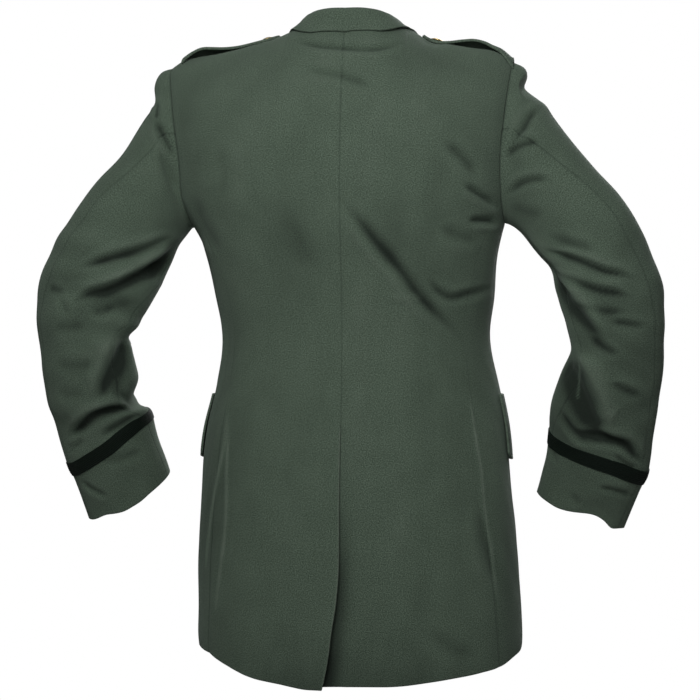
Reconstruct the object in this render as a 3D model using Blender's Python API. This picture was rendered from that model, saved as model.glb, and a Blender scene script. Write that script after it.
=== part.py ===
"""A military dress tunic, filled out as if worn, with nobody in it.

Row frame: metres, +Z up, the wearer faces -Y and the wearer's left is +X. The origin is in the middle of
the neck opening, level with the two points where the shoulder seams meet the collar, which is where a
wearer's shoulders carry the garment.

Every cloth piece is a wall: a grid of points on its outer face, and the same grid moved in along the
surface by the cloth's thickness. The torso pieces share one skin, so that they meet along their seams.
"""

import math

import bmesh
import bpy
import numpy as np
from mathutils import Matrix, Vector

CLOTH = 0.0016  # one layer of coat cloth with its fusing
FLAP_CLOTH = 0.0030  # a pocket flap or shoulder loop, which is two layers and its turnings
BRAID_CLOTH = 0.0010
SEAM_GAP = 0.0003  # between two pieces that are sewn together
LAID_GAP = 0.0005  # between a piece and the one that it lies on

# --- the torso's sizes -----------------------------------------------------------------------------------
NECK_HALF = 0.072  # from the middle to the neck end of a shoulder seam
NECK_BACK = 0.062  # from the shoulder seams back to the neck seam at the centre back
NECK_DIP = 0.004  # how far the neck seam's centre back lies below the origin
SHOULDER_FALL = 0.150  # height over which the shoulder rounds into the back and the chest
TIP_Z = -0.040  # top of the armhole, where the shoulder seam ends
UNDERARM_Z = -0.232
SIDE_SEAM_Z = -0.205  # where the side panel's seams run into the armhole
ARMHOLE_TIP = math.radians(25)  # how far the armhole reaches round the body at the shoulder seam
ARMHOLE_BACK = math.radians(26)  # and lower down, behind
ARMHOLE_FRONT = math.radians(30)  # and in front
ARMHOLE_MID = (TIP_Z + UNDERARM_Z) / 2
ARMHOLE_RISE = (TIP_Z - UNDERARM_Z) / 2
ARMHOLE_TURN = math.acos((SIDE_SEAM_Z - ARMHOLE_MID) / ARMHOLE_RISE)  # the side seam's place on the armhole
OVERLAP = 0.022  # how far each front passes the centre front
CROSSING_Z = -0.258  # where the two roll lines cross at the centre front
ROLL_END_Z = -0.305  # where the lapel's roll line ends, just above the top button
FRONT_LIFT = CLOTH + LAID_GAP + 0.0006  # the left front's height over the right front
VENT_TOP_Z = -0.472
VENT_UNDERLAP = 0.036  # how far the right back passes under the left back in the vent
VENT_SINK = CLOTH + LAID_GAP


def table(columns, rows):
    """A table of numbers as one array for each named column."""
    return {name: np.array([row[i] for row in rows], float) for i, name in enumerate(columns.split())}


# Horizontal sections of the torso, from the neck down. left and right are half widths, mid is the y of the
# widest point, back and front are the y of the centre back and centre front, and square is the exponent of
# the section's superellipse: 2 is an ellipse.
TORSO = table(
    "z left right mid back front square",
    [
        (0.010, 0.240, 0.212, 0.000, 0.108, -0.108, 2.5),
        (-0.040, 0.237, 0.209, 0.000, 0.110, -0.116, 2.5),
        (-0.100, 0.228, 0.203, 0.000, 0.113, -0.123, 2.5),
        (-0.160, 0.217, 0.196, 0.001, 0.115, -0.128, 2.4),
        (-0.205, 0.206, 0.189, 0.002, 0.115, -0.131, 2.4),
        (-0.235, 0.191, 0.183, 0.001, 0.112, -0.131, 2.3),
        (-0.265, 0.179, 0.1765, -0.004, 0.107, -0.130, 2.3),
        (-0.320, 0.1675, 0.171, -0.013, 0.097, -0.126, 2.2),
        (-0.366, 0.161, 0.166, -0.018, 0.093, -0.123, 2.2),
        (-0.420, 0.167, 0.174, -0.015, 0.096, -0.125, 2.2),
        (-0.480, 0.178, 0.184, -0.009, 0.104, -0.129, 2.2),
        (-0.570, 0.186, 0.194, -0.003, 0.113, -0.133, 2.3),
        (-0.660, 0.189, 0.2015, 0.000, 0.118, -0.135, 2.3),
        (-0.775, 0.187, 0.206, 0.000, 0.122, -0.136, 2.3),
    ],
)

# The shoulder seam's fall below the origin, by its share of the way from the neck to the armhole.
SHOULDER = table(
    "share z",
    [(0.0, 0.0), (0.15, -0.009), (0.30, -0.0145), (0.57, -0.0225), (0.80, -0.0275), (0.90, -0.031), (1.0, TIP_Z)],
)

# The side panel's two seams, as shares of the section's half width, on the back and on the front.
SIDE_SEAMS = table(
    "z back front",
    [
        (-0.250, 0.912, 0.925),
        (-0.313, 0.848, 0.900),
        (-0.390, 0.838, 0.890),
        (-0.470, 0.835, 0.885),
        (-0.613, 0.852, 0.880),
        (-0.775, 0.885, 0.875),
    ],
)

# The back hem, which drops towards the centre, by distance from the centre. The front hem is level.
HEM = table("x left right", [(0.0, -0.7710, -0.7690), (0.060, -0.7675, -0.7680), (0.100, -0.7620, -0.7645),
                             (0.130, -0.7540, -0.7590), (0.160, -0.7430, -0.7540), (0.185, -0.7290, -0.7490),
                             (0.205, -0.7240, -0.7400)])
FRONT_HEM_Z = -0.7350

# The front edge: the roll line down to the top button, then straight to the hem.
ROLL = table("z x", [(-0.775, -OVERLAP), (ROLL_END_Z, -OVERLAP), (CROSSING_Z, 0.0), (-0.200, 0.016),
                     (-0.120, 0.037), (-0.045, 0.057), (0.0, NECK_HALF)])

# The free edge of the left back in the vent: how far it has swung to the side, and stands off, on its way down.
VENT = table(
    "z swing lift",
    [(-0.775, 0.0190, 0.0090), (-0.738, 0.0115, 0.0075), (-0.703, 0.0070, 0.0065), (-0.676, 0.0028, 0.0055),
     (-0.650, 0.0005, 0.0048), (-0.560, 0.0, 0.0030), (-0.500, 0.0, 0.0012), (VENT_TOP_Z, 0.0, 0.0)],
)

# --- the sleeves' sizes ----------------------------------------------------------------------------------
# Rings from the armhole to the cuff. outer and inner are the ring's two ends as seen from behind, y and deep
# are its middle and half depth from front to back, drop is how much lower its back lies than its middle, and
# hind and fore are the angles of the sleeve's two seams, from the outer end round the back.
SLEEVE_COLUMNS = "outer_x outer_z inner_x inner_z y deep drop hind fore"
SLEEVES = {
    "left": table(
        SLEEVE_COLUMNS,
        [
            (0.2190, -0.0400, 0.1920, -0.2320, 0.000, 0.055, 0.000, 84, 202),
            (0.2325, -0.0455, 0.1950, -0.2340, 0.001, 0.060, -0.001, 82, 200),
            (0.2405, -0.0630, 0.1975, -0.2360, 0.004, 0.062, -0.003, 80, 198),
            (0.2430, -0.0900, 0.2020, -0.2440, 0.010, 0.063, -0.006, 76, 194),
            (0.2680, -0.1330, 0.2090, -0.2600, 0.020, 0.060, -0.010, 68, 188),
            (0.3040, -0.1775, 0.2190, -0.2820, 0.030, 0.058, -0.012, 60, 180),
            (0.3345, -0.2220, 0.2280, -0.3090, 0.042, 0.055, -0.010, 54, 170),
            (0.3600, -0.2700, 0.2420, -0.3380, 0.052, 0.052, -0.004, 48, 158),
            (0.3750, -0.3110, 0.2580, -0.3660, 0.054, 0.050, 0.004, 44, 146),
            (0.3745, -0.3560, 0.2590, -0.3860, 0.050, 0.048, 0.010, 38, 138),
            (0.3710, -0.4070, 0.2560, -0.4140, 0.038, 0.046, 0.014, 34, 138),
            (0.3680, -0.4420, 0.2620, -0.4400, 0.024, 0.044, 0.015, 33, 144),
            (0.3640, -0.4680, 0.2500, -0.4520, 0.008, 0.043, 0.015, 32, 152),
            (0.3530, -0.5230, 0.2470, -0.4620, -0.008, 0.042, 0.014, 32, 160),
            (0.3480, -0.5400, 0.2430, -0.4820, -0.018, 0.041, 0.014, 32, 164),
            (0.3360, -0.5890, 0.2330, -0.5370, -0.042, 0.039, 0.017, 32, 168),
        ],
    ),
    "right": table(
        SLEEVE_COLUMNS,
        [
            (0.1930, -0.0400, 0.1840, -0.2320, 0.000, 0.055, 0.000, 84, 202),
            (0.2090, -0.0495, 0.1860, -0.2330, 0.001, 0.060, -0.001, 82, 200),
            (0.2155, -0.0710, 0.1880, -0.2340, 0.004, 0.062, -0.003, 80, 198),
            (0.2290, -0.0900, 0.1950, -0.2390, 0.010, 0.063, -0.006, 76, 194),
            (0.2640, -0.1390, 0.2120, -0.2560, 0.020, 0.060, -0.010, 68, 188),
            (0.3035, -0.1840, 0.2260, -0.2730, 0.030, 0.058, -0.012, 60, 180),
            (0.3345, -0.2280, 0.2380, -0.2920, 0.042, 0.055, -0.010, 54, 170),
            (0.3575, -0.2770, 0.2480, -0.3260, 0.052, 0.052, -0.004, 48, 158),
            (0.3705, -0.3230, 0.2600, -0.3680, 0.054, 0.050, 0.004, 44, 146),
            (0.3680, -0.3640, 0.2590, -0.3900, 0.050, 0.048, 0.010, 38, 138),
            (0.3660, -0.4100, 0.2500, -0.4120, 0.038, 0.046, 0.014, 34, 138),
            (0.3610, -0.4530, 0.2400, -0.4420, 0.024, 0.044, 0.015, 33, 144),
            (0.3560, -0.4900, 0.2370, -0.4600, 0.008, 0.043, 0.015, 32, 152),
            (0.3520, -0.5270, 0.2360, -0.4770, -0.008, 0.042, 0.014, 32, 160),
            (0.3440, -0.5470, 0.2330, -0.4970, -0.018, 0.041, 0.014, 32, 164),
            (0.3260, -0.5970, 0.2220, -0.5540, -0.042, 0.039, 0.004, 32, 168),
        ],
    ),
}
BRAID_ROWS = (13, 14)  # the rings at the braid's two edges

# --- the small pieces' sizes ------------------------------------------------------------------------------
# The collar from the centre back (share 0) to the gorge (share 1). The fold's place is given whole. The
# fall's edge and the neck seam are given by x and y, and lie on the torso.
COLLAR = table(
    "share fold_x fold_y fold_z edge_x edge_y",
    [
        (0.00, 0.0000, 0.0560, 0.0190, 0.0000, 0.0735),
        (0.18, 0.0200, 0.0540, 0.0188, 0.0250, 0.0700),
        (0.34, 0.0370, 0.0455, 0.0172, 0.0470, 0.0590),
        (0.50, 0.0520, 0.0290, 0.0135, 0.0660, 0.0400),
        (0.65, 0.0635, 0.0040, 0.0075, 0.0810, 0.0060),
        (0.78, 0.0645, -0.0330, 0.0000, 0.0930, -0.0330),
        (0.89, 0.0600, -0.0600, -0.0160, 0.1000, -0.0600),
        (1.00, 0.0530, -0.0790, -0.0380, 0.1020, -0.0770),
    ],
)
COLLAR_LIFT = 0.0040  # the outside of the fall above the back that it lies on
FOLD_RADIUS = 0.0026

# The lapel's outer edge, from the tip of the notch down to the end of the roll line.
LAPEL = table("t x z", [(0.0, 0.134, -0.076), (0.2, 0.122, -0.128), (0.4, 0.101, -0.178), (0.6, 0.070, -0.224),
                        (0.8, 0.031, -0.266), (1.0, -0.016, -0.302)])
LAPEL_TOP_Z = -0.047  # where the gorge seam meets the roll line
LAPEL_LIFT = CLOTH + 0.0022

FLAP_TOP_Z = -0.435
FLAP_DEPTH = 0.080
FLAP_TURNS = (math.radians(80), math.radians(148))  # its two ends, round the body from the centre back
FLAP_LIFT = (FLAP_CLOTH + 0.0012, FLAP_CLOTH + 0.0025)  # at its seam and at its free edge

# The shoulder loop from its point (share 0) to the armhole (share 1): half its width, and how far the top of
# each side's loop stands off the shoulder.
LOOP = table("share half left right", [(0.00, 0.0040, 0.0055, 0.0048), (0.10, 0.0190, 0.0050, 0.0048),
                                       (0.28, 0.0205, 0.0046, 0.0052), (0.44, 0.0216, 0.0048, 0.0100),
                                       (0.56, 0.0228, 0.0068, 0.0134), (0.68, 0.0240, 0.0100, 0.0124),
                                       (0.79, 0.0252, 0.0126, 0.0085), (0.89, 0.0264, 0.0092, 0.0052),
                                       (1.00, 0.0275, 0.0050, 0.0046)])
LOOP_ENDS = {"left": (0.0870, 0.2010), "right": (0.0868, 0.1860)}

BRAID_LIFT = BRAID_CLOTH + 0.0008
FRONT_BUTTONS_Z = (-0.322, -0.407, -0.492, -0.577)
FRONT_BUTTON = 0.0114  # a 36 line button's radius
SMALL_BUTTON = 0.0079  # a 25 line button's radius
DOME = 0.42  # a button's height by its radius

# --- how finely each piece is cut into faces -------------------------------------------------------------
ARMHOLE_STEPS = 8  # from the shoulder seam to the side panel's seam
SIDE_STEPS = 4
NECK_STEPS = 3
SHOULDER_SHARES = (0, 0.13, 0.25, 0.40, 0.58, 0.78, 1)  # from the neck to the armhole
BELOW = (0, 0.055, 0.115, 0.19, 0.27, 0.35, 0.4125, 0.4735, 0.56, 0.64, 0.72, 0.80, 0.90, 1)
VENT_ROW = ARMHOLE_STEPS + BELOW.index(0.4735)
HIND_COLUMN = 5  # the armhole point where the sleeve's back seam starts
FORE_COLUMN = ARMHOLE_STEPS + 3
SLEEVE_ROWS = (0, 0.5, 1, 1.5, 2, 3, 4, 5, 6, 7, 8, 9, 10, 11, 12, 13, 14, 15)
BUTTON_SIDES = 12


def blend(a, b, t):
    return a + (b - a) * t


def ease(t):
    t = np.clip(t, 0, 1)
    return t * t * (3 - 2 * t)


def read(rows, name, key, at):
    """Column name of a table where its key column is at, on a smooth curve through the rows."""
    xs, ys = rows[key], rows[name]
    if xs[0] > xs[-1]:
        xs, ys = xs[::-1], ys[::-1]
    slope = np.gradient(ys, xs)
    at = np.clip(at, xs[0], xs[-1])
    i = np.clip(np.searchsorted(xs, at) - 1, 0, len(xs) - 2)
    h = xs[i + 1] - xs[i]
    t = (at - xs[i]) / h
    rise = t * t * (3 - 2 * t)
    return (
        blend(ys[i], ys[i + 1], rise)
        + slope[i] * h * t * (1 - t) ** 2
        - slope[i + 1] * h * t * t * (1 - t)
    )


# --- the torso's skin ------------------------------------------------------------------------------------
def half_width(side, z):
    return np.where(np.asarray(side) > 0, read(TORSO, "left", "z", z), read(TORSO, "right", "z", z))


def tip_x(side):
    square = read(TORSO, "square", "z", TIP_Z)
    return half_width(side, TIP_Z) * math.cos(ARMHOLE_TIP) ** (2 / square)


def crest_z(x):
    """Height of the neck seam and the shoulder seam over x."""
    reach = tip_x(np.sign(x))
    share = (np.abs(x) - NECK_HALF) / (reach - NECK_HALF)
    neck = -NECK_DIP * (1 - np.clip(np.abs(x) / NECK_HALF, 0, 1) ** 2)
    return np.where(share > 0, read(SHOULDER, "z", "share", share), neck)


def crest_y(x, face):
    """y of the neck seam and the shoulder seam over x. The front has no neck seam of its own."""
    inside = np.clip(1 - (x / NECK_HALF) ** 2, 0, 1)
    return np.where(face > 0, NECK_BACK * np.sqrt(inside), 0.0)


def skin(x, z, face):
    """y of the torso's outer face, behind (face 1) or in front (face -1)."""
    x, z = np.asarray(x, float), np.asarray(z, float)
    square = read(TORSO, "square", "z", z)
    share = np.clip(np.abs(x) / half_width(x, z), 0, 1)
    mid = read(TORSO, "mid", "z", z)
    far = np.where(np.asarray(face) > 0, read(TORSO, "back", "z", z), read(TORSO, "front", "z", z))
    full = mid + (far - mid) * (1 - share**square) ** (1 / square)
    start = crest_y(x, face)
    curl = np.where(start > 0, blend(2.0, 1.5, start / NECK_BACK), 2.0)
    fall = np.clip((crest_z(x) - z) / SHOULDER_FALL, 0, 1)
    return start + (full - start) * (1 - (1 - fall) ** curl) ** (1 / curl)


def armhole_angle(z, face):
    """The armhole edge's angle round the body, from the centre back, at height z."""
    below = np.clip((ARMHOLE_MID - z) / ARMHOLE_RISE, 0, 1)
    settled = ease((TIP_Z - z) / 0.06)
    behind = blend(ARMHOLE_TIP, ARMHOLE_BACK, settled)
    ahead = blend(ARMHOLE_TIP, ARMHOLE_FRONT, settled)
    return math.pi / 2 - np.where(np.asarray(face) > 0, behind, -ahead) * np.sqrt(1 - below**2)


def share_of(angle, z):
    """The share of the half width that an angle round the body stands for."""
    return np.abs(np.sin(angle)) ** (2 / read(TORSO, "square", "z", z))


def angle_of(share, z, face):
    turned = np.arcsin(np.clip(share, 0, 1) ** (read(TORSO, "square", "z", z) / 2))
    return np.where(np.asarray(face) > 0, turned, math.pi - turned)


def seam_share(z, face):
    """Where a torso panel ends sideways at height z: the armhole, then the side panel's seam."""
    name = "back" if face > 0 else "front"
    at_top = share_of(armhole_angle(SIDE_SEAM_Z, face), SIDE_SEAM_Z)
    seams = {"z": np.append(SIDE_SEAMS["z"][::-1], SIDE_SEAM_Z), name: np.append(SIDE_SEAMS[name][::-1], at_top)}
    armhole = share_of(armhole_angle(np.maximum(z, SIDE_SEAM_Z), face), z)
    return np.where(z > SIDE_SEAM_Z, armhole, read(seams, name, "z", z))


def hem_z(x, face):
    behind = np.where(x > 0, read(HEM, "left", "x", np.abs(x)), read(HEM, "right", "x", np.abs(x)))
    return np.where(np.asarray(face) > 0, behind, FRONT_HEM_Z)


def height(x, y):
    """z of the torso's outer face over a point of the shoulders. It halves the span that holds the height."""
    x, y = np.asarray(x, float), np.asarray(y, float)
    face = np.where(y >= 0, 1, -1)
    high = crest_z(x)
    low = high - 0.14
    for _ in range(30):
        z = (high + low) / 2
        above = skin(x, z, face) * face < y * face
        high, low = np.where(above, z, high), np.where(above, low, z)
    return high


def edge_height(v):
    """Height of the armhole's edge on row v, from the shoulder seam (0) to the side panel's seam (1)."""
    return ARMHOLE_MID + ARMHOLE_RISE * np.cos(np.clip(v, 0, 1) * ARMHOLE_TURN)


def seam_x(side, face, z):
    return side * half_width(side, z) * seam_share(z, face)


def panel(side, face, v, x_at):
    """x and z on row v of a torso panel: 0 is the shoulder seam, 1 the side seam's top and 2 the hem.

    x_at gives the panel's x from the x of its armhole or side seam, and from the row's height at its middle edge.
    """
    hem_end = seam_x(side, face, -0.745)
    hem = hem_z(x_at(hem_end + 0 * v, FRONT_HEM_Z + 0 * v), face)
    end_z = np.where(v <= 1, edge_height(v), blend(SIDE_SEAM_Z, hem_z(hem_end, face), v - 1))
    share = (TIP_Z - edge_height(v)) / (TIP_Z - SIDE_SEAM_Z)
    level = np.where(v <= 1, SIDE_SEAM_Z * share, blend(SIDE_SEAM_Z, FRONT_HEM_Z, v - 1))
    x = x_at(seam_x(side, face, end_z), level)
    crest = crest_z(side * np.maximum(np.abs(x), NECK_HALF)) if face < 0 else crest_z(x)
    return x, np.where(v <= 1, blend(crest, SIDE_SEAM_Z, share), blend(SIDE_SEAM_Z, hem, v - 1))


def back_panel(side, s, v):
    """A back: s runs from the centre back (0) to the armhole and side seam (1)."""
    x, z = panel(side, 1, v, lambda end, level: end * s)
    return np.stack([x, skin(x, z, 1), z], -1)


def roll_x(z):
    return np.interp(z, ROLL["z"], ROLL["x"])


def overlap_lift(x, z):
    """How far the left front stands off, where it passes over the right front."""
    return FRONT_LIFT * ease((0.050 - x) / 0.024) * ease((-0.225 - z) / 0.03)


def front_panel(side, s, v):
    """A front: s runs from the armhole and side seam (0) to the roll line and front edge (1)."""
    x, z = panel(side, -1, v, lambda end, level: blend(end, side * roll_x(level), s))
    y = skin(x, z, -1)
    if side > 0:
        y = y - overlap_lift(x, z)
    return np.stack([x, y, z], -1)


def side_panel(side, s, v):
    """A side panel: s runs round the body from the back's seam (0) to the front's seam (1)."""
    turn = blend(ARMHOLE_TURN, 2 * math.pi - ARMHOLE_TURN, s)
    top = ARMHOLE_MID + ARMHOLE_RISE * np.cos(turn)
    behind = turn < math.pi
    armhole = np.where(behind, armhole_angle(top, 1), armhole_angle(top, -1))
    low = blend(hem_z(seam_x(side, 1, -0.745), 1), FRONT_HEM_Z, ease(s * 1.6))
    z = blend(top, low, v)

    def between(height):
        back = angle_of(seam_share(height, 1), height, 1)
        front = angle_of(seam_share(height, -1), height, -1)
        return blend(back, front, s)

    angle = between(z) + (armhole - between(top)) * (1 - ease(v * 5))
    x = side * half_width(side, z) * share_of(angle, z)
    mid = read(TORSO, "mid", "z", z)
    far = np.where(np.cos(angle) > 0, read(TORSO, "back", "z", z), read(TORSO, "front", "z", z))
    y = mid + (far - mid) * np.abs(np.cos(angle)) ** (2 / read(TORSO, "square", "z", z))
    return np.stack([x, y, z], -1)


def armhole(side, turn):
    """The armhole's edge: turn is 0 at the shoulder seam, a quarter turn at the back, half under the arm."""
    z = ARMHOLE_MID + ARMHOLE_RISE * np.cos(turn)
    face = np.where(turn < math.pi, 1, -1)
    x = side * half_width(side, z) * share_of(armhole_angle(z, face), z)
    return np.stack([x, skin(x, z, face), z], -1)


# --- the sleeves' skin -----------------------------------------------------------------------------------
def ring(side, row, turn):
    """A point of the sleeve on ring number row, which may lie between two rings."""
    rows = dict(SLEEVES["left" if side > 0 else "right"])
    rows["row"] = np.arange(len(rows["y"]), dtype=float)
    get = {name: read(rows, name, "row", row) for name in SLEEVE_COLUMNS.split()}
    outer = np.stack([get["outer_x"], get["y"], get["outer_z"]], -1)
    inner = np.stack([get["inner_x"], get["y"], get["inner_z"]], -1)
    depth = np.stack([0 * get["y"], get["deep"], -get["drop"]], -1)
    point = (outer + inner) / 2 + (outer - inner) / 2 * np.cos(turn)[..., None] + depth * np.sin(turn)[..., None]
    point[..., 0] *= side
    return point, np.radians(get["hind"]), np.radians(get["fore"])


SLEEVE_TURNS = np.concatenate([
    np.linspace(0, ARMHOLE_TURN, ARMHOLE_STEPS + 1),
    np.linspace(ARMHOLE_TURN, 2 * math.pi - ARMHOLE_TURN, SIDE_STEPS + 1)[1:],
    np.linspace(2 * math.pi - ARMHOLE_TURN, 2 * math.pi, ARMHOLE_STEPS + 1)[1:],
])
HIND_TURN, FORE_TURN = SLEEVE_TURNS[HIND_COLUMN], SLEEVE_TURNS[FORE_COLUMN]


def sleeve(side, turn, row):
    """A sleeve's outer face: turn is the point of the armhole that its lengthwise line starts from."""
    _, hind, fore = ring(side, row, turn)
    under = np.clip((turn - HIND_TURN) / (FORE_TURN - HIND_TURN), 0, 1)
    over = ((turn - FORE_TURN) % (2 * math.pi)) / (HIND_TURN + 2 * math.pi - FORE_TURN)
    inside = (turn >= HIND_TURN) & (turn <= FORE_TURN)
    turned = np.where(inside, blend(hind, fore, under), blend(fore, hind + 2 * math.pi, over))
    point, _, _ = ring(side, row, turned)
    first, _, _ = ring(side, np.zeros_like(row), turn)
    edge = armhole(side, turn % (2 * math.pi))
    return point + (edge - first) * (1 - ease(row / 2.2))[..., None]


# --- walls -----------------------------------------------------------------------------------------------
def grid_piece(grid, away):
    """A grid of points as a piece: its points and its faces, which look the way that away points."""
    rows, columns = grid.shape[:2]
    index = np.arange(rows * columns).reshape(rows, columns)
    faces = np.stack([index[:-1, :-1], index[:-1, 1:], index[1:, 1:], index[1:, :-1]], -1).reshape(-1, 4)
    points = grid.reshape(-1, 3)
    if (face_normals(points, faces) * (points - np.asarray(away).reshape(-1, 3))[faces[:, 0]]).sum() < 0:
        faces = faces[:, ::-1]
    return points, faces


def face_normals(points, faces):
    """Each face's normal, as long as its area is large."""
    corners = points[faces]
    return np.cross(corners[:, 2] - corners[:, 0], corners[:, 3] - corners[:, 1]) / 2


def unit(vectors):
    return vectors / np.maximum(np.linalg.norm(vectors, axis=-1, keepdims=True), 1e-12)


def joined(*pieces):
    """Pieces as one, with the points that lie in the same place made one."""
    points = np.concatenate([piece[0] for piece in pieces])
    starts = np.cumsum([0] + [len(piece[0]) for piece in pieces])
    faces = np.concatenate([piece[1] + start for piece, start in zip(pieces, starts)])
    _, first, index = np.unique(np.round(points / 2e-5).astype(int), axis=0, return_index=True, return_inverse=True)
    return points[first], index.reshape(-1)[faces]


def rim_of(faces):
    """The edges that only one face has, each as that face runs along it."""
    edges = np.concatenate([np.stack([faces[:, i], faces[:, (i + 1) % 4]], -1) for i in range(4)])
    _, index, count = np.unique(np.sort(edges, axis=1), axis=0, return_inverse=True, return_counts=True)
    return edges[count[index.reshape(-1)] == 1]


def add_wall(name, points, faces, normals, thick, finish):
    """One closed solid: the piece, the same piece moved in by its thickness, and the edges between them.

    Each face is cut along its shorter diagonal, on both sides alike, so that the wall is as thick everywhere.
    """
    rim = rim_of(faces)
    if SEAM_GAP:
        inward = np.zeros_like(points)
        along = unit(points[rim[:, 1]] - points[rim[:, 0]])
        for end in (0, 1):
            np.add.at(inward, rim[:, end], np.cross(normals[rim[:, end]], along))
        points = points + inward * SEAM_GAP / 2
    count = len(points)
    corners = points[faces]
    first = np.linalg.norm(corners[:, 2] - corners[:, 0], axis=-1)
    second = np.linalg.norm(corners[:, 3] - corners[:, 1], axis=-1)
    turned = np.where((first <= second)[:, None], faces, np.roll(faces, -1, axis=1))
    halves = np.concatenate([turned[:, [0, 1, 2]], turned[:, [0, 2, 3]]])
    sides = np.stack([rim[:, 1], rim[:, 0], rim[:, 0] + count, rim[:, 1] + count], -1)
    mesh = bpy.data.meshes.new(name)
    mesh.from_pydata(np.concatenate([points, points - normals * thick]).tolist(), [],
                     halves.tolist() + (halves[:, ::-1] + count).tolist() + sides.tolist())
    mesh.validate()
    mesh.shade_smooth()
    mesh.set_sharp_from_angle(angle=math.radians(40))
    return add(name, mesh, finish)


def sew(pieces, thick, finish):
    """Makes pieces that meet along their seams. Their points share one normal there, so the walls meet too."""
    places, normals = {}, {}
    for name, (points, faces) in pieces.items():
        normals[name] = point_normals(points, faces)
        for place, normal in zip(np.round(points / 2e-5).astype(int).tolist(), normals[name]):
            places[tuple(place)] = places.get(tuple(place), 0) + normal
    for name, (points, faces) in pieces.items():
        shared = [places[tuple(place)] for place in np.round(points / 2e-5).astype(int).tolist()]
        add_wall(name, points, faces, unit(np.array(shared)), thick, finish)


def add(name, mesh, finish):
    mesh.materials.append(finish)
    obj = bpy.data.objects.new(name, mesh)
    bpy.context.scene.collection.objects.link(obj)
    return obj


def material(name, colour, roughness, metallic=0.0):
    made = bpy.data.materials.new(name)
    made.use_nodes = True
    shader = made.node_tree.nodes["Principled BSDF"]
    shader.inputs["Base Color"].default_value = (*colour, 1.0)
    shader.inputs["Roughness"].default_value = roughness
    shader.inputs["Metallic"].default_value = metallic
    return made


def name_of(side):
    return "left" if side > 0 else "right"


def upright_axis(grid, x=0.0, y=0.0):
    """The points of an upright line through x, y, level with each point of the grid."""
    return np.stack([np.full_like(grid[..., 0], x), np.full_like(grid[..., 0], y), grid[..., 2]], -1)


# --- the pieces ------------------------------------------------------------------------------------------
ROWS = np.concatenate([np.linspace(0, 1, ARMHOLE_STEPS + 1), 1 + np.array(BELOW)[1:]])


def back_piece(side):
    neck = NECK_HALF / tip_x(side)
    shares = np.concatenate([np.linspace(0, neck, NECK_STEPS + 1)[:-1], blend(neck, 1, np.array(SHOULDER_SHARES))])
    s, v = np.meshgrid(shares, ROWS)
    grid = back_panel(side, s, v)
    z = grid[..., 2]
    below = (np.arange(len(ROWS)) > VENT_ROW)[:, None]
    if side > 0:
        grid[..., 0] += below * read(VENT, "swing", "z", z) * (1 - s) ** 2
        near = ease(1 - grid[..., 0] / 0.075)
        grid[..., 1] = skin(grid[..., 0], z, 1) + below * read(VENT, "lift", "z", z) * near
        return grid_piece(grid, upright_axis(grid))
    grid[:, 0, 1] -= below[:, 0] * VENT_SINK
    tuck = grid[VENT_ROW + 1:, :1].repeat(3, 1)
    tuck[..., 0] = np.array([0, VENT_UNDERLAP / 2, VENT_UNDERLAP])
    tuck[..., 1] = skin(tuck[..., 0], tuck[..., 2], 1) - VENT_SINK
    return joined(grid_piece(grid, upright_axis(grid)), grid_piece(tuck, upright_axis(tuck)))


def front_piece(side):
    s, v = np.meshgrid(1 - np.array(SHOULDER_SHARES[::-1]), ROWS)
    grid = front_panel(side, s, v)
    return grid_piece(grid, upright_axis(grid))


def side_piece(side):
    s, v = np.meshgrid(np.linspace(0, 1, SIDE_STEPS + 1), BELOW)
    grid = side_panel(side, s, v)
    return grid_piece(grid, upright_axis(grid))


def sleeve_axis(side, rows):
    outer, _, _ = ring(side, rows, 0 * rows)
    inner, _, _ = ring(side, rows, math.pi + 0 * rows)
    return (outer + inner) / 2


def sleeve_pieces(side):
    count = len(SLEEVE_TURNS) - 1
    spans = {
        "top_sleeve": np.append(np.arange(FORE_COLUMN, count), np.arange(HIND_COLUMN + 1)),
        "under_sleeve": np.arange(HIND_COLUMN, FORE_COLUMN + 1),
    }
    pieces = {}
    for name, columns in spans.items():
        turn, row = np.meshgrid(SLEEVE_TURNS[columns], SLEEVE_ROWS)
        grid = sleeve(side, turn, row)
        grid[0, :, 0] += side * SEAM_GAP
        pieces[f"{name}_{name_of(side)}"] = grid_piece(grid, sleeve_axis(side, row))
    return pieces


def point_normals(points, faces):
    normals = np.zeros_like(points)
    for i in range(4):
        np.add.at(normals, faces[:, i], face_normals(points, faces))
    return unit(normals)


def braid_piece(side):
    """The braid lies on the sleeve's own facets, so its rows are two of the sleeve's."""
    turn, row = np.meshgrid(SLEEVE_TURNS, np.arange(BRAID_ROWS[0] - 1, BRAID_ROWS[1] + 2))
    grid = sleeve(side, turn, row)
    axis = sleeve_axis(side, row)
    points, faces = grid_piece(grid, axis)
    out = point_normals(points, faces).reshape(grid.shape)
    out[:, 0] = out[:, -1] = unit(out[:, 0] + out[:, -1])
    grid = (grid + out * BRAID_LIFT)[1:-1]
    return joined(grid_piece(grid, axis[1:-1]))


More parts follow.
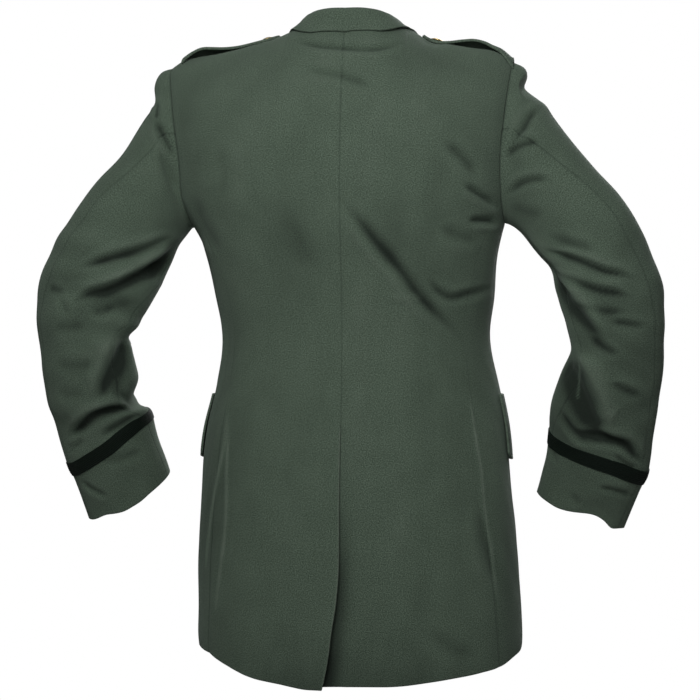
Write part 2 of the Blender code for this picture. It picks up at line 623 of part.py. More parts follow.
def collar_piece():
    shares = np.array([0.0, 0.09, 0.18, 0.26, 0.34, 0.42, 0.50, 0.58, 0.65, 0.72, 0.78, 0.84, 0.89, 0.95, 1.0])
    lines = []
    for share in shares:
        get = {name: float(read(COLLAR, name, "share", share)) for name in COLLAR}
        fold = np.array([get["fold_x"], get["fold_y"], get["fold_z"]])
        edge = np.array([get["edge_x"], get["edge_y"], 0])
        edge[2] = height(edge[0], edge[1]) + COLLAR_LIFT
        outward = unit((edge - fold) * (1, 1, 0))
        foot = fold + outward * blend(0.0015, -0.0030, ease((share - 0.4) / 0.4))
        foot[2] = fold[2] - blend(0.0210, 0.0075, ease((share - 0.4) / 0.5))
        up = np.array([0, 0, 1.0])
        line = [foot, blend(foot, fold, 0.5), fold - outward * FOLD_RADIUS * 0.2 - up * FOLD_RADIUS]
        line += [fold + outward * FOLD_RADIUS * 0.9, fold + outward * FOLD_RADIUS * 2.2 - up * FOLD_RADIUS * 1.1]
        for t in (0, 0.45, 0.72, 1.0):
            point = blend(line[4], edge, t)
            point[2] = max(point[2], float(height(point[0], point[1])) + COLLAR_LIFT)
            line.append(point)
        line.pop(4)
        lines.append(np.array(line))
    half = np.array(lines)
    mirrored = half[:0:-1] * (-1, 1, 1)
    grid = np.concatenate([mirrored, half])
    middle = (grid[:, :1] + grid[:, -1:]) / 2 + 0 * grid - (0, 0, 0.01)
    return grid_piece(grid, middle)


def lapel_piece(side):
    t, w = np.meshgrid(np.linspace(0, 1, 9), (0.03, 0.3, 0.6, 0.82, 1), indexing="ij")
    end = ROLL_END_Z + 0.004 if side > 0 else CROSSING_Z + 0.012
    roll_z = blend(LAPEL_TOP_Z, end, t)
    reach = t if side > 0 else t * 0.80
    x = blend(roll_x(roll_z), read(LAPEL, "x", "t", reach), w)
    z = blend(roll_z, read(LAPEL, "z", "t", reach), w)
    y = skin(x, z, -1) - LAPEL_LIFT - (overlap_lift(x, z) if side > 0 else 0)
    grid = np.stack([side * x, y, z], -1)
    return grid_piece(grid, upright_axis(grid))


def on_section(side, angle, z, lift):
    """A point of the torso at an angle from the centre back, moved out square to the section."""
    def at(turn):
        x = side * half_width(side, z) * share_of(turn, z)
        mid = read(TORSO, "mid", "z", z)
        far = np.where(np.cos(turn) > 0, read(TORSO, "back", "z", z), read(TORSO, "front", "z", z))
        y = mid + (far - mid) * np.abs(np.cos(turn)) ** (2 / read(TORSO, "square", "z", z))
        return np.stack([x, y, z], -1)

    step = at(angle + 0.01) - at(angle - 0.01)
    out = unit(np.stack([-side * step[..., 1], side * step[..., 0], 0 * z], -1))
    return at(angle) + out * lift[..., None]


def flap_piece(side):
    t, v = np.meshgrid(np.linspace(0, 1, 8), (0, 0.33, 0.66, 1))
    angle = blend(*FLAP_TURNS, t)
    z = FLAP_TOP_Z - FLAP_DEPTH * v * (1 - 0.05 * np.cos(t * math.pi) ** 8)
    grid = on_section(side, angle, z, blend(FLAP_LIFT[0], FLAP_LIFT[1], v))
    return grid_piece(grid, upright_axis(grid))


def loop_piece(side):
    share, w = np.meshgrid(LOOP["share"], (-1, -0.4, 0.4, 1), indexing="ij")
    x = side * blend(*LOOP_ENDS[name_of(side)], share)
    y = w * read(LOOP, "half", "share", share) - 0.004
    lift = read(LOOP, name_of(side), "share", share)
    z = np.maximum(blend(height(x, 0 * y), height(x, y), 0.55) + lift, height(x, y) + FLAP_CLOTH + 0.0012)
    grid = np.stack([x, y, z], -1)
    return grid_piece(grid, grid - (0, 0, 1))


def add_button(name, centre, out, radius, finish):
    """A plain domed button: a turned profile on the axis out, with its back on the cloth."""
    profile = [(0.55, 0.0), (0.96, 0.10), (1.0, 0.16), (0.86, 0.30), (0.52, 0.39)]
    mesh = bmesh.new()
    rings = []
    for r, h in profile:
        circle = []
        for i in range(BUTTON_SIDES):
            turn = 2 * math.pi * i / BUTTON_SIDES
            circle.append(mesh.verts.new((radius * r * math.cos(turn), radius * r * math.sin(turn), radius * h)))
        rings.append(circle)
    for low, high in zip(rings, rings[1:]):
        for i in range(BUTTON_SIDES):
            j = (i + 1) % BUTTON_SIDES
            mesh.faces.new((low[i], low[j], high[j], high[i]))
    for circle, level in ((rings[0][::-1], 0.0), (rings[-1], DOME * radius)):
        middle = mesh.verts.new((0, 0, level))
        for i in range(BUTTON_SIDES):
            mesh.faces.new((circle[i], circle[(i + 1) % BUTTON_SIDES], middle))
    mesh.transform(Matrix.Translation(centre) @ Vector((0, 0, 1)).rotation_difference(Vector(out)).to_matrix().to_4x4())
    data = bpy.data.meshes.new(name)
    mesh.to_mesh(data)
    mesh.free()
    data.shade_smooth()
    data.set_sharp_from_angle(angle=math.radians(40))
    return add(name, data, finish)


def main():
    for obj in list(bpy.data.objects):
        bpy.data.objects.remove(obj)
    serge = material("green_serge", (0.055, 0.080, 0.063), 0.9)
    mohair = material("black_braid", (0.012, 0.012, 0.014), 0.6)
    brass = material("gilt_brass", (0.78, 0.57, 0.20), 0.3, 1.0)

    torso = {}
    for side in (1, -1):
        torso[f"back_{name_of(side)}"] = back_piece(side)
        torso[f"side_{name_of(side)}"] = side_piece(side)
        torso[f"front_{name_of(side)}"] = front_piece(side)
    sew(torso, CLOTH, serge)
    sew({"collar": collar_piece()}, CLOTH, serge)
    for side in (1, -1):
        name = name_of(side)
        sew(sleeve_pieces(side), CLOTH, serge)
        sew({f"braid_{name}": braid_piece(side)}, BRAID_CLOTH, mohair)
        sew({f"lapel_{name}": lapel_piece(side)}, CLOTH, serge)
        sew({f"pocket_flap_{name}": flap_piece(side)}, FLAP_CLOTH, serge)
        sew({f"shoulder_loop_{name}": loop_piece(side)}, FLAP_CLOTH, serge)
        x = side * 0.103
        top = float(height(x, -0.004)) + 0.0050 + 2 * LAID_GAP
        add_button(f"loop_button_{name}", (x, -0.004, top), (side * 0.28, 0, 1), SMALL_BUTTON, brass)
    for i, z in enumerate(FRONT_BUTTONS_Z):
        y = float(skin(0.0, z, -1)) - FRONT_LIFT - LAID_GAP
        add_button(f"front_button_{i + 1}", (0.0, y, z), (0, -1, 0), FRONT_BUTTON, brass)


main()
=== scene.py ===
"""A military dress tunic, filled out as if worn, with nobody in it: the finished model round its CAD frame.

Row frame: metres, +Z up, the wearer faces -Y and the wearer's left is +X. Every piece of cloth is a thin
closed shell on its CAD solid's own form. The form is cut finer here, then pressed into the folds listed
below.
"""

import math

import bmesh
import bpy
import numpy as np
from bpy.props import FloatProperty, FloatVectorProperty, IntProperty, PointerProperty
from bpy.types import Operator, Panel, PropertyGroup
from mathutils import Matrix, Vector


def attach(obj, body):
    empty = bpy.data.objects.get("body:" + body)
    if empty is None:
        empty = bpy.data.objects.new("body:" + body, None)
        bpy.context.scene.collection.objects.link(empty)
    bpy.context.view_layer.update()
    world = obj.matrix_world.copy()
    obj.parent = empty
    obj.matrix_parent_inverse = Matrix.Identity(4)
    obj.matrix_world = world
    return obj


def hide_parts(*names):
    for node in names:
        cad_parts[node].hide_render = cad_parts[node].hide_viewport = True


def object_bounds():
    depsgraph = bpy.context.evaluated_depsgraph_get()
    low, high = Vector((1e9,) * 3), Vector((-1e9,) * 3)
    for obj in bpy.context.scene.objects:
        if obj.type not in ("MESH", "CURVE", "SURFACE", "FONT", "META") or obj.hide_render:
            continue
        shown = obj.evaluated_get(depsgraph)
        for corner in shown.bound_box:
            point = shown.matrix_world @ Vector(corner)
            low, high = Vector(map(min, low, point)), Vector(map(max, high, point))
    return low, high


bl_info = {
    "name": "Military dress tunic",
    "version": (1, 0, 0),
    "blender": (4, 5, 0),
    "location": "3D View > Sidebar > Tunic",
    "description": "Builds a worn dress tunic in green serge, with its braid, buttons and stitches",
    "category": "Add Mesh",
}

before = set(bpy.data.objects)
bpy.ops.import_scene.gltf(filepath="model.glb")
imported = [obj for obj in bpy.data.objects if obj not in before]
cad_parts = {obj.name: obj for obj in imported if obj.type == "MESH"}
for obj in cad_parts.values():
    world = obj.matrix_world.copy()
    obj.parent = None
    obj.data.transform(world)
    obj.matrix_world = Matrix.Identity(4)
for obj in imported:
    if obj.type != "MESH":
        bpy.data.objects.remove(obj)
CAD_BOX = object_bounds()

CLOTH = 0.0016  # one layer of coat cloth with its fusing
FLAP_CLOTH = 0.0030  # a pocket flap or shoulder loop, which is two layers and its turnings
BRAID_CLOTH = 0.0010
SEAM_GAP = 0.0003  # between two pieces that are sewn together
LAID_GAP = 0.0005  # between a piece and the one that it lies on

# --- the torso's sizes ---
NECK_HALF = 0.072  # from the middle to the neck end of a shoulder seam
NECK_BACK = 0.062  # from the shoulder seams back to the neck seam at the centre back
NECK_DIP = 0.004  # how far the neck seam's centre back lies below the origin
SHOULDER_FALL = 0.150  # height over which the shoulder rounds into the back and the chest
TIP_Z = -0.040  # top of the armhole, where the shoulder seam ends
UNDERARM_Z = -0.232
SIDE_SEAM_Z = -0.205  # where the side panel's seams run into the armhole
ARMHOLE_TIP = math.radians(25)  # how far the armhole reaches round the body at the shoulder seam
ARMHOLE_BACK = math.radians(26)  # and lower down, behind
ARMHOLE_FRONT = math.radians(30)  # and in front
ARMHOLE_MID = (TIP_Z + UNDERARM_Z) / 2
ARMHOLE_RISE = (TIP_Z - UNDERARM_Z) / 2
ARMHOLE_TURN = math.acos((SIDE_SEAM_Z - ARMHOLE_MID) / ARMHOLE_RISE)  # the side seam's place on the armhole
OVERLAP = 0.022  # how far each front passes the centre front
CROSSING_Z = -0.258  # where the two roll lines cross at the centre front
ROLL_END_Z = -0.305  # where the lapel's roll line ends, just above the top button
FRONT_LIFT = CLOTH + LAID_GAP + 0.0006  # the left front's height over the right front
VENT_TOP_Z = -0.472
VENT_UNDERLAP = 0.036  # how far the right back passes under the left back in the vent
VENT_SINK = CLOTH + LAID_GAP


def table(columns, rows):
    """A table of numbers as one array for each named column."""
    return {name: np.array([row[i] for row in rows], float) for i, name in enumerate(columns.split())}


# Horizontal sections of the torso, from the neck down. left and right are half widths, mid is the y of the
# widest point, back and front are the y of the centre back and centre front, and square is the exponent of
# the section's superellipse: 2 is an ellipse.
TORSO = table("z left right mid back front square", [
    (0.010, 0.240, 0.212, 0.000, 0.108, -0.108, 2.5),
    (-0.040, 0.237, 0.209, 0.000, 0.110, -0.116, 2.5),
    (-0.100, 0.228, 0.203, 0.000, 0.113, -0.123, 2.5),
    (-0.160, 0.217, 0.196, 0.001, 0.115, -0.128, 2.4),
    (-0.205, 0.206, 0.189, 0.002, 0.115, -0.131, 2.4),
    (-0.235, 0.191, 0.183, 0.001, 0.112, -0.131, 2.3),
    (-0.265, 0.179, 0.1765, -0.004, 0.107, -0.130, 2.3),
    (-0.320, 0.1675, 0.171, -0.013, 0.097, -0.126, 2.2),
    (-0.366, 0.161, 0.166, -0.018, 0.093, -0.123, 2.2),
    (-0.420, 0.167, 0.174, -0.015, 0.096, -0.125, 2.2),
    (-0.480, 0.178, 0.184, -0.009, 0.104, -0.129, 2.2),
    (-0.570, 0.186, 0.194, -0.003, 0.113, -0.133, 2.3),
    (-0.660, 0.189, 0.2015, 0.000, 0.118, -0.135, 2.3),
    (-0.775, 0.187, 0.206, 0.000, 0.122, -0.136, 2.3),
])

# The shoulder seam's fall below the origin, by its share of the way from the neck to the armhole.
SHOULDER = table("share z", [
    (0.0, 0.0), (0.15, -0.009), (0.30, -0.0145), (0.57, -0.0225), (0.80, -0.0275), (0.90, -0.031),
    (1.0, TIP_Z),
])

# The side panel's two seams, as shares of the section's half width, on the back and on the front.
SIDE_SEAMS = table("z back front", [
    (-0.250, 0.912, 0.925),
    (-0.313, 0.848, 0.900),
    (-0.390, 0.838, 0.890),
    (-0.470, 0.835, 0.885),
    (-0.613, 0.852, 0.880),
    (-0.775, 0.885, 0.875),
])

# The back hem, which drops towards the centre, by distance from the centre. The front hem is level.
HEM = table("x left right", [
    (0.0, -0.7710, -0.7690), (0.060, -0.7675, -0.7680), (0.100, -0.7620, -0.7645), (0.130, -0.7540, -0.7590),
    (0.160, -0.7430, -0.7540), (0.185, -0.7290, -0.7490), (0.205, -0.7240, -0.7400),
])
FRONT_HEM_Z = -0.7350

# The front edge: the roll line down to the top button, then straight to the hem.
ROLL = table("z x", [
    (-0.775, -OVERLAP), (ROLL_END_Z, -OVERLAP), (CROSSING_Z, 0.0), (-0.200, 0.016), (-0.120, 0.037),
    (-0.045, 0.057), (0.0, NECK_HALF),
])

# The free edge of the left back in the vent: how far it has swung to the side and stands off, by height.
VENT = table("z swing lift", [
    (-0.775, 0.0190, 0.0120), (-0.738, 0.0115, 0.0105), (-0.703, 0.0070, 0.0090), (-0.676, 0.0028, 0.0075),
    (-0.650, 0.0005, 0.0062), (-0.560, 0.0, 0.0034), (-0.500, 0.0, 0.0014), (VENT_TOP_Z, 0.0, 0.0),
])

# --- the sleeves' sizes ---
# Rings from the armhole to the cuff. outer and inner are the ring's two ends as seen from behind, and drop is
# how much lower its back lies than its middle. Both sleeves share y and deep, which are its middle and half
# depth from front to back, and hind and fore, the angles of its two seams from the outer end round the back.
SLEEVE_DEPTHS = table("y deep hind fore", [
    (0.000, 0.055, 84, 202), (0.001, 0.060, 82, 200), (0.004, 0.062, 80, 198), (0.010, 0.063, 76, 194),
    (0.020, 0.060, 68, 188), (0.030, 0.058, 60, 180), (0.042, 0.055, 54, 170), (0.052, 0.052, 48, 158),
    (0.054, 0.050, 44, 146), (0.050, 0.048, 38, 138), (0.038, 0.046, 34, 138), (0.024, 0.044, 33, 144),
    (0.008, 0.043, 32, 152), (-0.008, 0.042, 32, 160), (-0.018, 0.041, 32, 164), (-0.042, 0.039, 32, 168),
])
SLEEVES = {
    "left": table("outer_x outer_z inner_x inner_z drop", [
        (0.2190, -0.0400, 0.1920, -0.2320, 0.000),
        (0.2325, -0.0455, 0.1950, -0.2340, -0.001),
        (0.2405, -0.0630, 0.1975, -0.2360, -0.003),
        (0.2430, -0.0900, 0.2020, -0.2440, -0.006),
        (0.2680, -0.1330, 0.2090, -0.2600, -0.010),
        (0.3040, -0.1775, 0.2190, -0.2820, -0.012),
        (0.3345, -0.2220, 0.2280, -0.3090, -0.010),
        (0.3600, -0.2700, 0.2420, -0.3380, -0.004),
        (0.3750, -0.3110, 0.2580, -0.3660, 0.004),
        (0.3745, -0.3560, 0.2590, -0.3860, 0.010),
        (0.3710, -0.4070, 0.2560, -0.4140, 0.014),
        (0.3680, -0.4420, 0.2620, -0.4400, 0.015),
        (0.3640, -0.4680, 0.2500, -0.4520, 0.015),
        (0.3530, -0.5230, 0.2470, -0.4620, 0.014),
        (0.3480, -0.5400, 0.2430, -0.4820, 0.014),
        (0.3360, -0.5890, 0.2330, -0.5370, 0.017),
    ]),
    "right": table("outer_x outer_z inner_x inner_z drop", [
        (0.1930, -0.0400, 0.1840, -0.2320, 0.000),
        (0.2090, -0.0495, 0.1860, -0.2330, -0.001),
        (0.2155, -0.0710, 0.1880, -0.2340, -0.003),
        (0.2290, -0.0900, 0.1950, -0.2390, -0.006),
        (0.2640, -0.1390, 0.2120, -0.2560, -0.010),
        (0.3035, -0.1840, 0.2260, -0.2730, -0.012),
        (0.3345, -0.2280, 0.2380, -0.2920, -0.010),
        (0.3575, -0.2770, 0.2480, -0.3260, -0.004),
        (0.3705, -0.3230, 0.2600, -0.3680, 0.004),
        (0.3680, -0.3640, 0.2590, -0.3900, 0.010),
        (0.3660, -0.4100, 0.2500, -0.4120, 0.014),
        (0.3610, -0.4530, 0.2400, -0.4420, 0.015),
        (0.3560, -0.4900, 0.2370, -0.4600, 0.015),
        (0.3520, -0.5270, 0.2360, -0.4770, 0.014),
        (0.3440, -0.5470, 0.2330, -0.4970, 0.014),
        (0.3260, -0.5970, 0.2220, -0.5540, 0.004),
    ]),
}
BRAID_RING = 13  # the ring nearest to the braid's upper edge
BRAID_WIDTH = 0.0198
# How much higher than that ring the braid's upper edge is sewn on, by how far out the cloth is.
BRAID_RISE = {
    "left": table("x rise", [(0.232, 0.004), (0.242, 0.008), (0.255, 0.0135), (0.270, 0.0135), (0.293, 0.010),
                             (0.319, 0.0075), (0.338, 0.005)]),
    "right": table("x rise", [(0.240, 0.000), (0.262, 0.006), (0.285, 0.010), (0.318, 0.0115),
                              (0.340, 0.0075), (0.357, 0.0025)]),
}

# --- the small pieces' sizes ---
# The collar from the centre back (share 0) to the gorge (share 1). The fold's place is given whole, and the
# fall's edge by x and y, because it lies on the torso.
COLLAR = table("share fold_x fold_y fold_z edge_x edge_y", [
    (0.00, 0.0000, 0.0560, 0.0190, 0.0000, 0.0735),
    (0.18, 0.0200, 0.0540, 0.0188, 0.0250, 0.0700),
    (0.34, 0.0370, 0.0455, 0.0172, 0.0470, 0.0635),
    (0.50, 0.0515, 0.0290, 0.0130, 0.0635, 0.0465),
    (0.65, 0.0620, 0.0040, 0.0060, 0.0740, 0.0130),
    (0.78, 0.0635, -0.0330, -0.0020, 0.0840, -0.0310),
    (0.89, 0.0612, -0.0600, -0.0160, 0.1000, -0.0600),
    (1.00, 0.0572, -0.0800, -0.0410, 0.1000, -0.0800),
])
COLLAR_LIFT = 0.0040  # the outside of the fall above the back that it lies on
COLLAR_WIDTH = 0.075  # from the stand over the fold to the fall's edge
COLLAR_HALF = 0.215  # along the fold from the centre back to the gorge
FOLD_RADIUS = 0.0026

# The lapel's outer edge, from the tip of the notch down to the end of the roll line.
LAPEL = table("t x z", [
    (0.0, 0.134, -0.076), (0.2, 0.122, -0.128), (0.4, 0.101, -0.178), (0.6, 0.070, -0.224),
    (0.8, 0.031, -0.266), (1.0, -0.016, -0.302),
])
LAPEL_TOP_Z = -0.042  # where the gorge seam meets the roll line
LAPEL_LIFT = CLOTH + 0.0022
LAPEL_LENGTH = 0.270
LAPEL_WIDTH = 0.080

FLAP_TOP_Z = -0.435
FLAP_DEPTH = 0.080
FLAP_WIDTH = 0.170
FLAP_TURNS = (math.radians(80), math.radians(148))  # its two ends, round the body from the centre back
FLAP_LIFT = (FLAP_CLOTH + 0.0012, FLAP_CLOTH + 0.0025)  # at its seam and at its free edge
FLAP_INSET = 0.006  # of its stitches from its edge

# The shoulder loop from its point (share 0) to the armhole (share 1): half its width, and how far each side's
# loop stands off the shoulder.
LOOP = table("share half left right", [
    (0.00, 0.0040, 0.0010, 0.0010), (0.10, 0.0190, 0.0012, 0.0003), (0.28, 0.0205, 0.0010, 0.0004),
    (0.44, 0.0216, 0.0014, 0.0060), (0.56, 0.0228, 0.0034, 0.0096), (0.68, 0.0240, 0.0066, 0.0092),
    (0.79, 0.0252, 0.0088, 0.0062), (0.89, 0.0264, 0.0066, 0.0046), (1.00, 0.0275, 0.0008, 0.0030),
])
LOOP_ENDS = {"left": (0.0870, 0.2050), "right": (0.0868, 0.1955)}
LOOP_LENGTH = 0.120
LOOP_INSET = 0.005  # of its stitches from its edge
LOOP_BUTTON_X = 0.103

FRONT_BUTTONS_Z = (-0.322, -0.407, -0.492, -0.577)
FRONT_BUTTON = 0.0114  # a 36 line button's radius
SMALL_BUTTON = 0.0079  # a 25 line button's radius
DOME = 0.42  # a button's height by its radius


def blend(a, b, t):
    return a + (b - a) * t


def ease(t):
    t = np.clip(t, 0, 1)
    return t * t * (3 - 2 * t)


def read(rows, name, key, at):
    """Column name of a table where its key column is at, on a smooth curve through the rows."""
    xs, ys = rows[key], rows[name]
    if xs[0] > xs[-1]:
        xs, ys = xs[::-1], ys[::-1]
    slope = np.gradient(ys, xs)
    at = np.clip(at, xs[0], xs[-1])
    i = np.clip(np.searchsorted(xs, at) - 1, 0, len(xs) - 2)
    h = xs[i + 1] - xs[i]
    t = (at - xs[i]) / h
    rise = t * t * (3 - 2 * t)
    return (
        blend(ys[i], ys[i + 1], rise)
        + slope[i] * h * t * (1 - t) ** 2
        - slope[i + 1] * h * t * t * (1 - t)
    )


# --- the torso's skin ---
def half_width(side, z):
    return np.where(np.asarray(side) > 0, read(TORSO, "left", "z", z), read(TORSO, "right", "z", z))


def tip_x(side):
    square = read(TORSO, "square", "z", TIP_Z)
    return half_width(side, TIP_Z) * math.cos(ARMHOLE_TIP) ** (2 / square)


def crest_z(x):
    """Height of the neck seam and the shoulder seam over x."""
    reach = tip_x(np.sign(x))
    share = (np.abs(x) - NECK_HALF) / (reach - NECK_HALF)
    neck = -NECK_DIP * (1 - np.clip(np.abs(x) / NECK_HALF, 0, 1) ** 2)
    return np.where(share > 0, read(SHOULDER, "z", "share", share), neck)


def crest_y(x, face):
    """y of the neck seam and the shoulder seam over x. The front has no neck seam of its own."""
    inside = np.clip(1 - (x / NECK_HALF) ** 2, 0, 1)
    return np.where(face > 0, NECK_BACK * np.sqrt(inside), 0.0)


def skin(x, z, face):
    """y of the torso's outer face, behind (face 1) or in front (face -1)."""
    x, z = np.asarray(x, float), np.asarray(z, float)
    square = read(TORSO, "square", "z", z)
    share = np.clip(np.abs(x) / half_width(x, z), 0, 1)
    mid = read(TORSO, "mid", "z", z)
    far = np.where(np.asarray(face) > 0, read(TORSO, "back", "z", z), read(TORSO, "front", "z", z))
    full = mid + (far - mid) * (1 - share**square) ** (1 / square)
    start = crest_y(x, face)
    curl = np.where(start > 0, blend(2.0, 1.5, start / NECK_BACK), 2.0)
    fall = np.clip((crest_z(x) - z) / SHOULDER_FALL, 0, 1)
    return start + (full - start) * (1 - (1 - fall) ** curl) ** (1 / curl)


def armhole_angle(z, face):
    """The armhole edge's angle round the body, from the centre back, at height z."""
    below = np.clip((ARMHOLE_MID - z) / ARMHOLE_RISE, 0, 1)
    settled = ease((TIP_Z - z) / 0.06)
    behind = blend(ARMHOLE_TIP, ARMHOLE_BACK, settled)
    ahead = blend(ARMHOLE_TIP, ARMHOLE_FRONT, settled)
    return math.pi / 2 - np.where(np.asarray(face) > 0, behind, -ahead) * np.sqrt(1 - below**2)


def share_of(angle, z):
    """The share of the half width that an angle round the body stands for."""
    return np.abs(np.sin(angle)) ** (2 / read(TORSO, "square", "z", z))


def on_body(side, angle, z):
    """The point of the torso's section at height z, at an angle round the body from the centre back."""
    mid = read(TORSO, "mid", "z", z)
    far = np.where(np.cos(angle) > 0, read(TORSO, "back", "z", z), read(TORSO, "front", "z", z))
    y = mid + (far - mid) * np.abs(np.cos(angle)) ** (2 / read(TORSO, "square", "z", z))
    return np.stack([side * half_width(side, z) * share_of(angle, z), y, z], -1)


def angle_of(share, z, face):
    turned = np.arcsin(np.clip(share, 0, 1) ** (read(TORSO, "square", "z", z) / 2))
    return np.where(np.asarray(face) > 0, turned, math.pi - turned)


def seam_share(z, face):
    """Where a torso panel ends sideways at height z: the armhole, then the side panel's seam."""
    name = "back" if face > 0 else "front"
    at_top = share_of(armhole_angle(SIDE_SEAM_Z, face), SIDE_SEAM_Z)
    heights = np.append(SIDE_SEAMS["z"][::-1], SIDE_SEAM_Z)
    seams = {"z": heights, name: np.append(SIDE_SEAMS[name][::-1], at_top)}
    armhole = share_of(armhole_angle(np.maximum(z, SIDE_SEAM_Z), face), z)
    return np.where(z > SIDE_SEAM_Z, armhole, read(seams, name, "z", z))


def hem_z(x, face):
    behind = np.where(x > 0, read(HEM, "left", "x", np.abs(x)), read(HEM, "right", "x", np.abs(x)))
    return np.where(np.asarray(face) > 0, behind, FRONT_HEM_Z)


def height(x, y):
    """z of the torso's outer face over a point of the shoulders. It halves the span that holds the height."""
    x, y = np.asarray(x, float), np.asarray(y, float)
    face = np.where(y >= 0, 1, -1)
    high = crest_z(x)
    low = high - 0.14
    for _ in range(30):
        z = (high + low) / 2
        above = skin(x, z, face) * face < y * face
        high, low = np.where(above, z, high), np.where(above, low, z)
    return high


def edge_height(v):
    """Height of the armhole's edge on row v, from the shoulder seam (0) to the side panel's seam (1)."""
    return ARMHOLE_MID + ARMHOLE_RISE * np.cos(np.clip(v, 0, 1) * ARMHOLE_TURN)


def seam_x(side, face, z):
    return side * half_width(side, z) * seam_share(z, face)


def panel(side, face, v, x_at):
    """x and z on row v of a torso panel: 0 is the shoulder seam, 1 the side seam's top and 2 the hem.

    x_at gives the panel's x from its armhole's or side seam's x, and from the row's height at its middle.
    """
    hem_end = seam_x(side, face, -0.745)
    hem = hem_z(x_at(hem_end + 0 * v, FRONT_HEM_Z + 0 * v), face)
    end_z = np.where(v <= 1, edge_height(v), blend(SIDE_SEAM_Z, hem_z(hem_end, face), v - 1))
    share = (TIP_Z - edge_height(v)) / (TIP_Z - SIDE_SEAM_Z)
    level = np.where(v <= 1, SIDE_SEAM_Z * share, blend(SIDE_SEAM_Z, FRONT_HEM_Z, v - 1))
    x = x_at(seam_x(side, face, end_z), level)
    crest = crest_z(side * np.maximum(np.abs(x), NECK_HALF)) if face < 0 else crest_z(x)
    return x, np.where(v <= 1, blend(crest, SIDE_SEAM_Z, share), blend(SIDE_SEAM_Z, hem, v - 1))


def back_panel(side, s, v):
    """A back: s runs from the centre back (0) to the armhole and side seam (1)."""
    x, z = panel(side, 1, v, lambda end, level: end * s)
    return np.stack([x, skin(x, z, 1), z], -1)


def roll_x(z):
    return np.interp(z, ROLL["z"], ROLL["x"])


def overlap_lift(x, z):
    """How far the left front stands off, where it passes over the right front."""
    return FRONT_LIFT * ease((0.050 - x) / 0.024) * ease((-0.225 - z) / 0.03)


def front_panel(side, s, v):
    """A front: s runs from the armhole and side seam (0) to the roll line and front edge (1)."""
    x, z = panel(side, -1, v, lambda end, level: blend(end, side * roll_x(level), s))
    y = skin(x, z, -1)
    if side > 0:
        y = y - overlap_lift(x, z)
    return np.stack([x, y, z], -1)


def side_panel(side, s, v):
    """A side panel: s runs round the body from the back's seam (0) to the front's seam (1)."""
    turn = blend(ARMHOLE_TURN, 2 * math.pi - ARMHOLE_TURN, s)
    top = ARMHOLE_MID + ARMHOLE_RISE * np.cos(turn)
    behind = turn < math.pi
    armhole = np.where(behind, armhole_angle(top, 1), armhole_angle(top, -1))
    low = blend(hem_z(seam_x(side, 1, -0.745), 1), FRONT_HEM_Z, ease(s * 1.6))
    z = blend(top, low, v)

    def between(height):
        back = angle_of(seam_share(height, 1), height, 1)
        front = angle_of(seam_share(height, -1), height, -1)
        return blend(back, front, s)

    return on_body(side, between(z) + (armhole - between(top)) * (1 - ease(v * 5)), z)


def armhole(side, turn):
    """The armhole's edge: turn is 0 at the shoulder seam, a quarter turn at the back, half under the arm."""
    z = ARMHOLE_MID + ARMHOLE_RISE * np.cos(turn)
    face = np.where(turn < math.pi, 1, -1)
    x = side * half_width(side, z) * share_of(armhole_angle(z, face), z)
    return np.stack([x, skin(x, z, face), z], -1)


# --- the sleeves' skin ---
def ring(side, row, turn):
    """A point of the sleeve on ring number row, which may lie between two rings."""
    rows = {**SLEEVE_DEPTHS, **SLEEVES[name_of(side)]}
    rows["row"] = np.arange(len(rows["y"]), dtype=float)
    get = {name: read(rows, name, "row", row) for name in rows if name != "row"}
    outer = np.stack([get["outer_x"], get["y"], get["outer_z"]], -1)
    inner = np.stack([get["inner_x"], get["y"], get["inner_z"]], -1)
    depth = np.stack([0 * get["y"], get["deep"], -get["drop"]], -1)
    cos, sin = np.cos(turn)[..., None], np.sin(turn)[..., None]
    point = (outer + inner) / 2 + (outer - inner) / 2 * cos + depth * sin
    point[..., 0] *= side
    return point, np.radians(get["hind"]), np.radians(get["fore"])


# --- how finely each piece is cut into faces ---
STEP = 0.0031  # between two lines of a mesh
CLOSE = (0.0008, 0.0022)  # the extra lines beside a seam or a free edge


def steps(length, first=True, last=True):
    """Shares from 0 to 1 along a line of that length, with extra ones close to its two ends."""
    close = np.array(CLOSE) / length
    even = np.linspace(0, 1, round(length / STEP) + 1)
    return np.sort(np.concatenate([even] + [close] * first + [1 - close] * last))


def chained(*runs):
    """Runs of shares, each as (start, end, shares), as one list of values."""
    return np.concatenate([blend(a, b, shares)[int(i > 0):] for i, (a, b, shares) in enumerate(runs)])


HIND_SHARE = 0.625  # where the sleeve's back seam meets the armhole, by its share from the shoulder seam
FORE_SHARE = 0.75  # where its front seam meets the armhole, by its share of the side panel
VENT_SHARE = 0.4735  # where the vent starts, by its share of the way from the side seam's top to the hem
DOWN_ARMHOLE = chained((0, HIND_SHARE, steps(0.140)), (HIND_SHARE, 1, steps(0.085)))
UNDER_ARM = chained((0, FORE_SHARE, steps(0.080)), (FORE_SHARE, 1, steps(0.027)))
BELOW = chained((0, VENT_SHARE, steps(0.256, last=False)), (VENT_SHARE, 1, steps(0.284)))
ROWS = np.concatenate([DOWN_ARMHOLE, 1 + BELOW[1:]])
SHOULDER_STEPS = steps(0.140)
TURNS = np.concatenate([
    DOWN_ARMHOLE * ARMHOLE_TURN,
    blend(ARMHOLE_TURN, 2 * math.pi - ARMHOLE_TURN, UNDER_ARM)[1:],
    2 * math.pi - (DOWN_ARMHOLE[::-1] * ARMHOLE_TURN)[1:],
])
HIND_TURN = HIND_SHARE * ARMHOLE_TURN
FORE_TURN = blend(ARMHOLE_TURN, 2 * math.pi - ARMHOLE_TURN, FORE_SHARE)
HIND = int(np.argmin(np.abs(TURNS - HIND_TURN)))
FORE = int(np.argmin(np.abs(TURNS - FORE_TURN)))
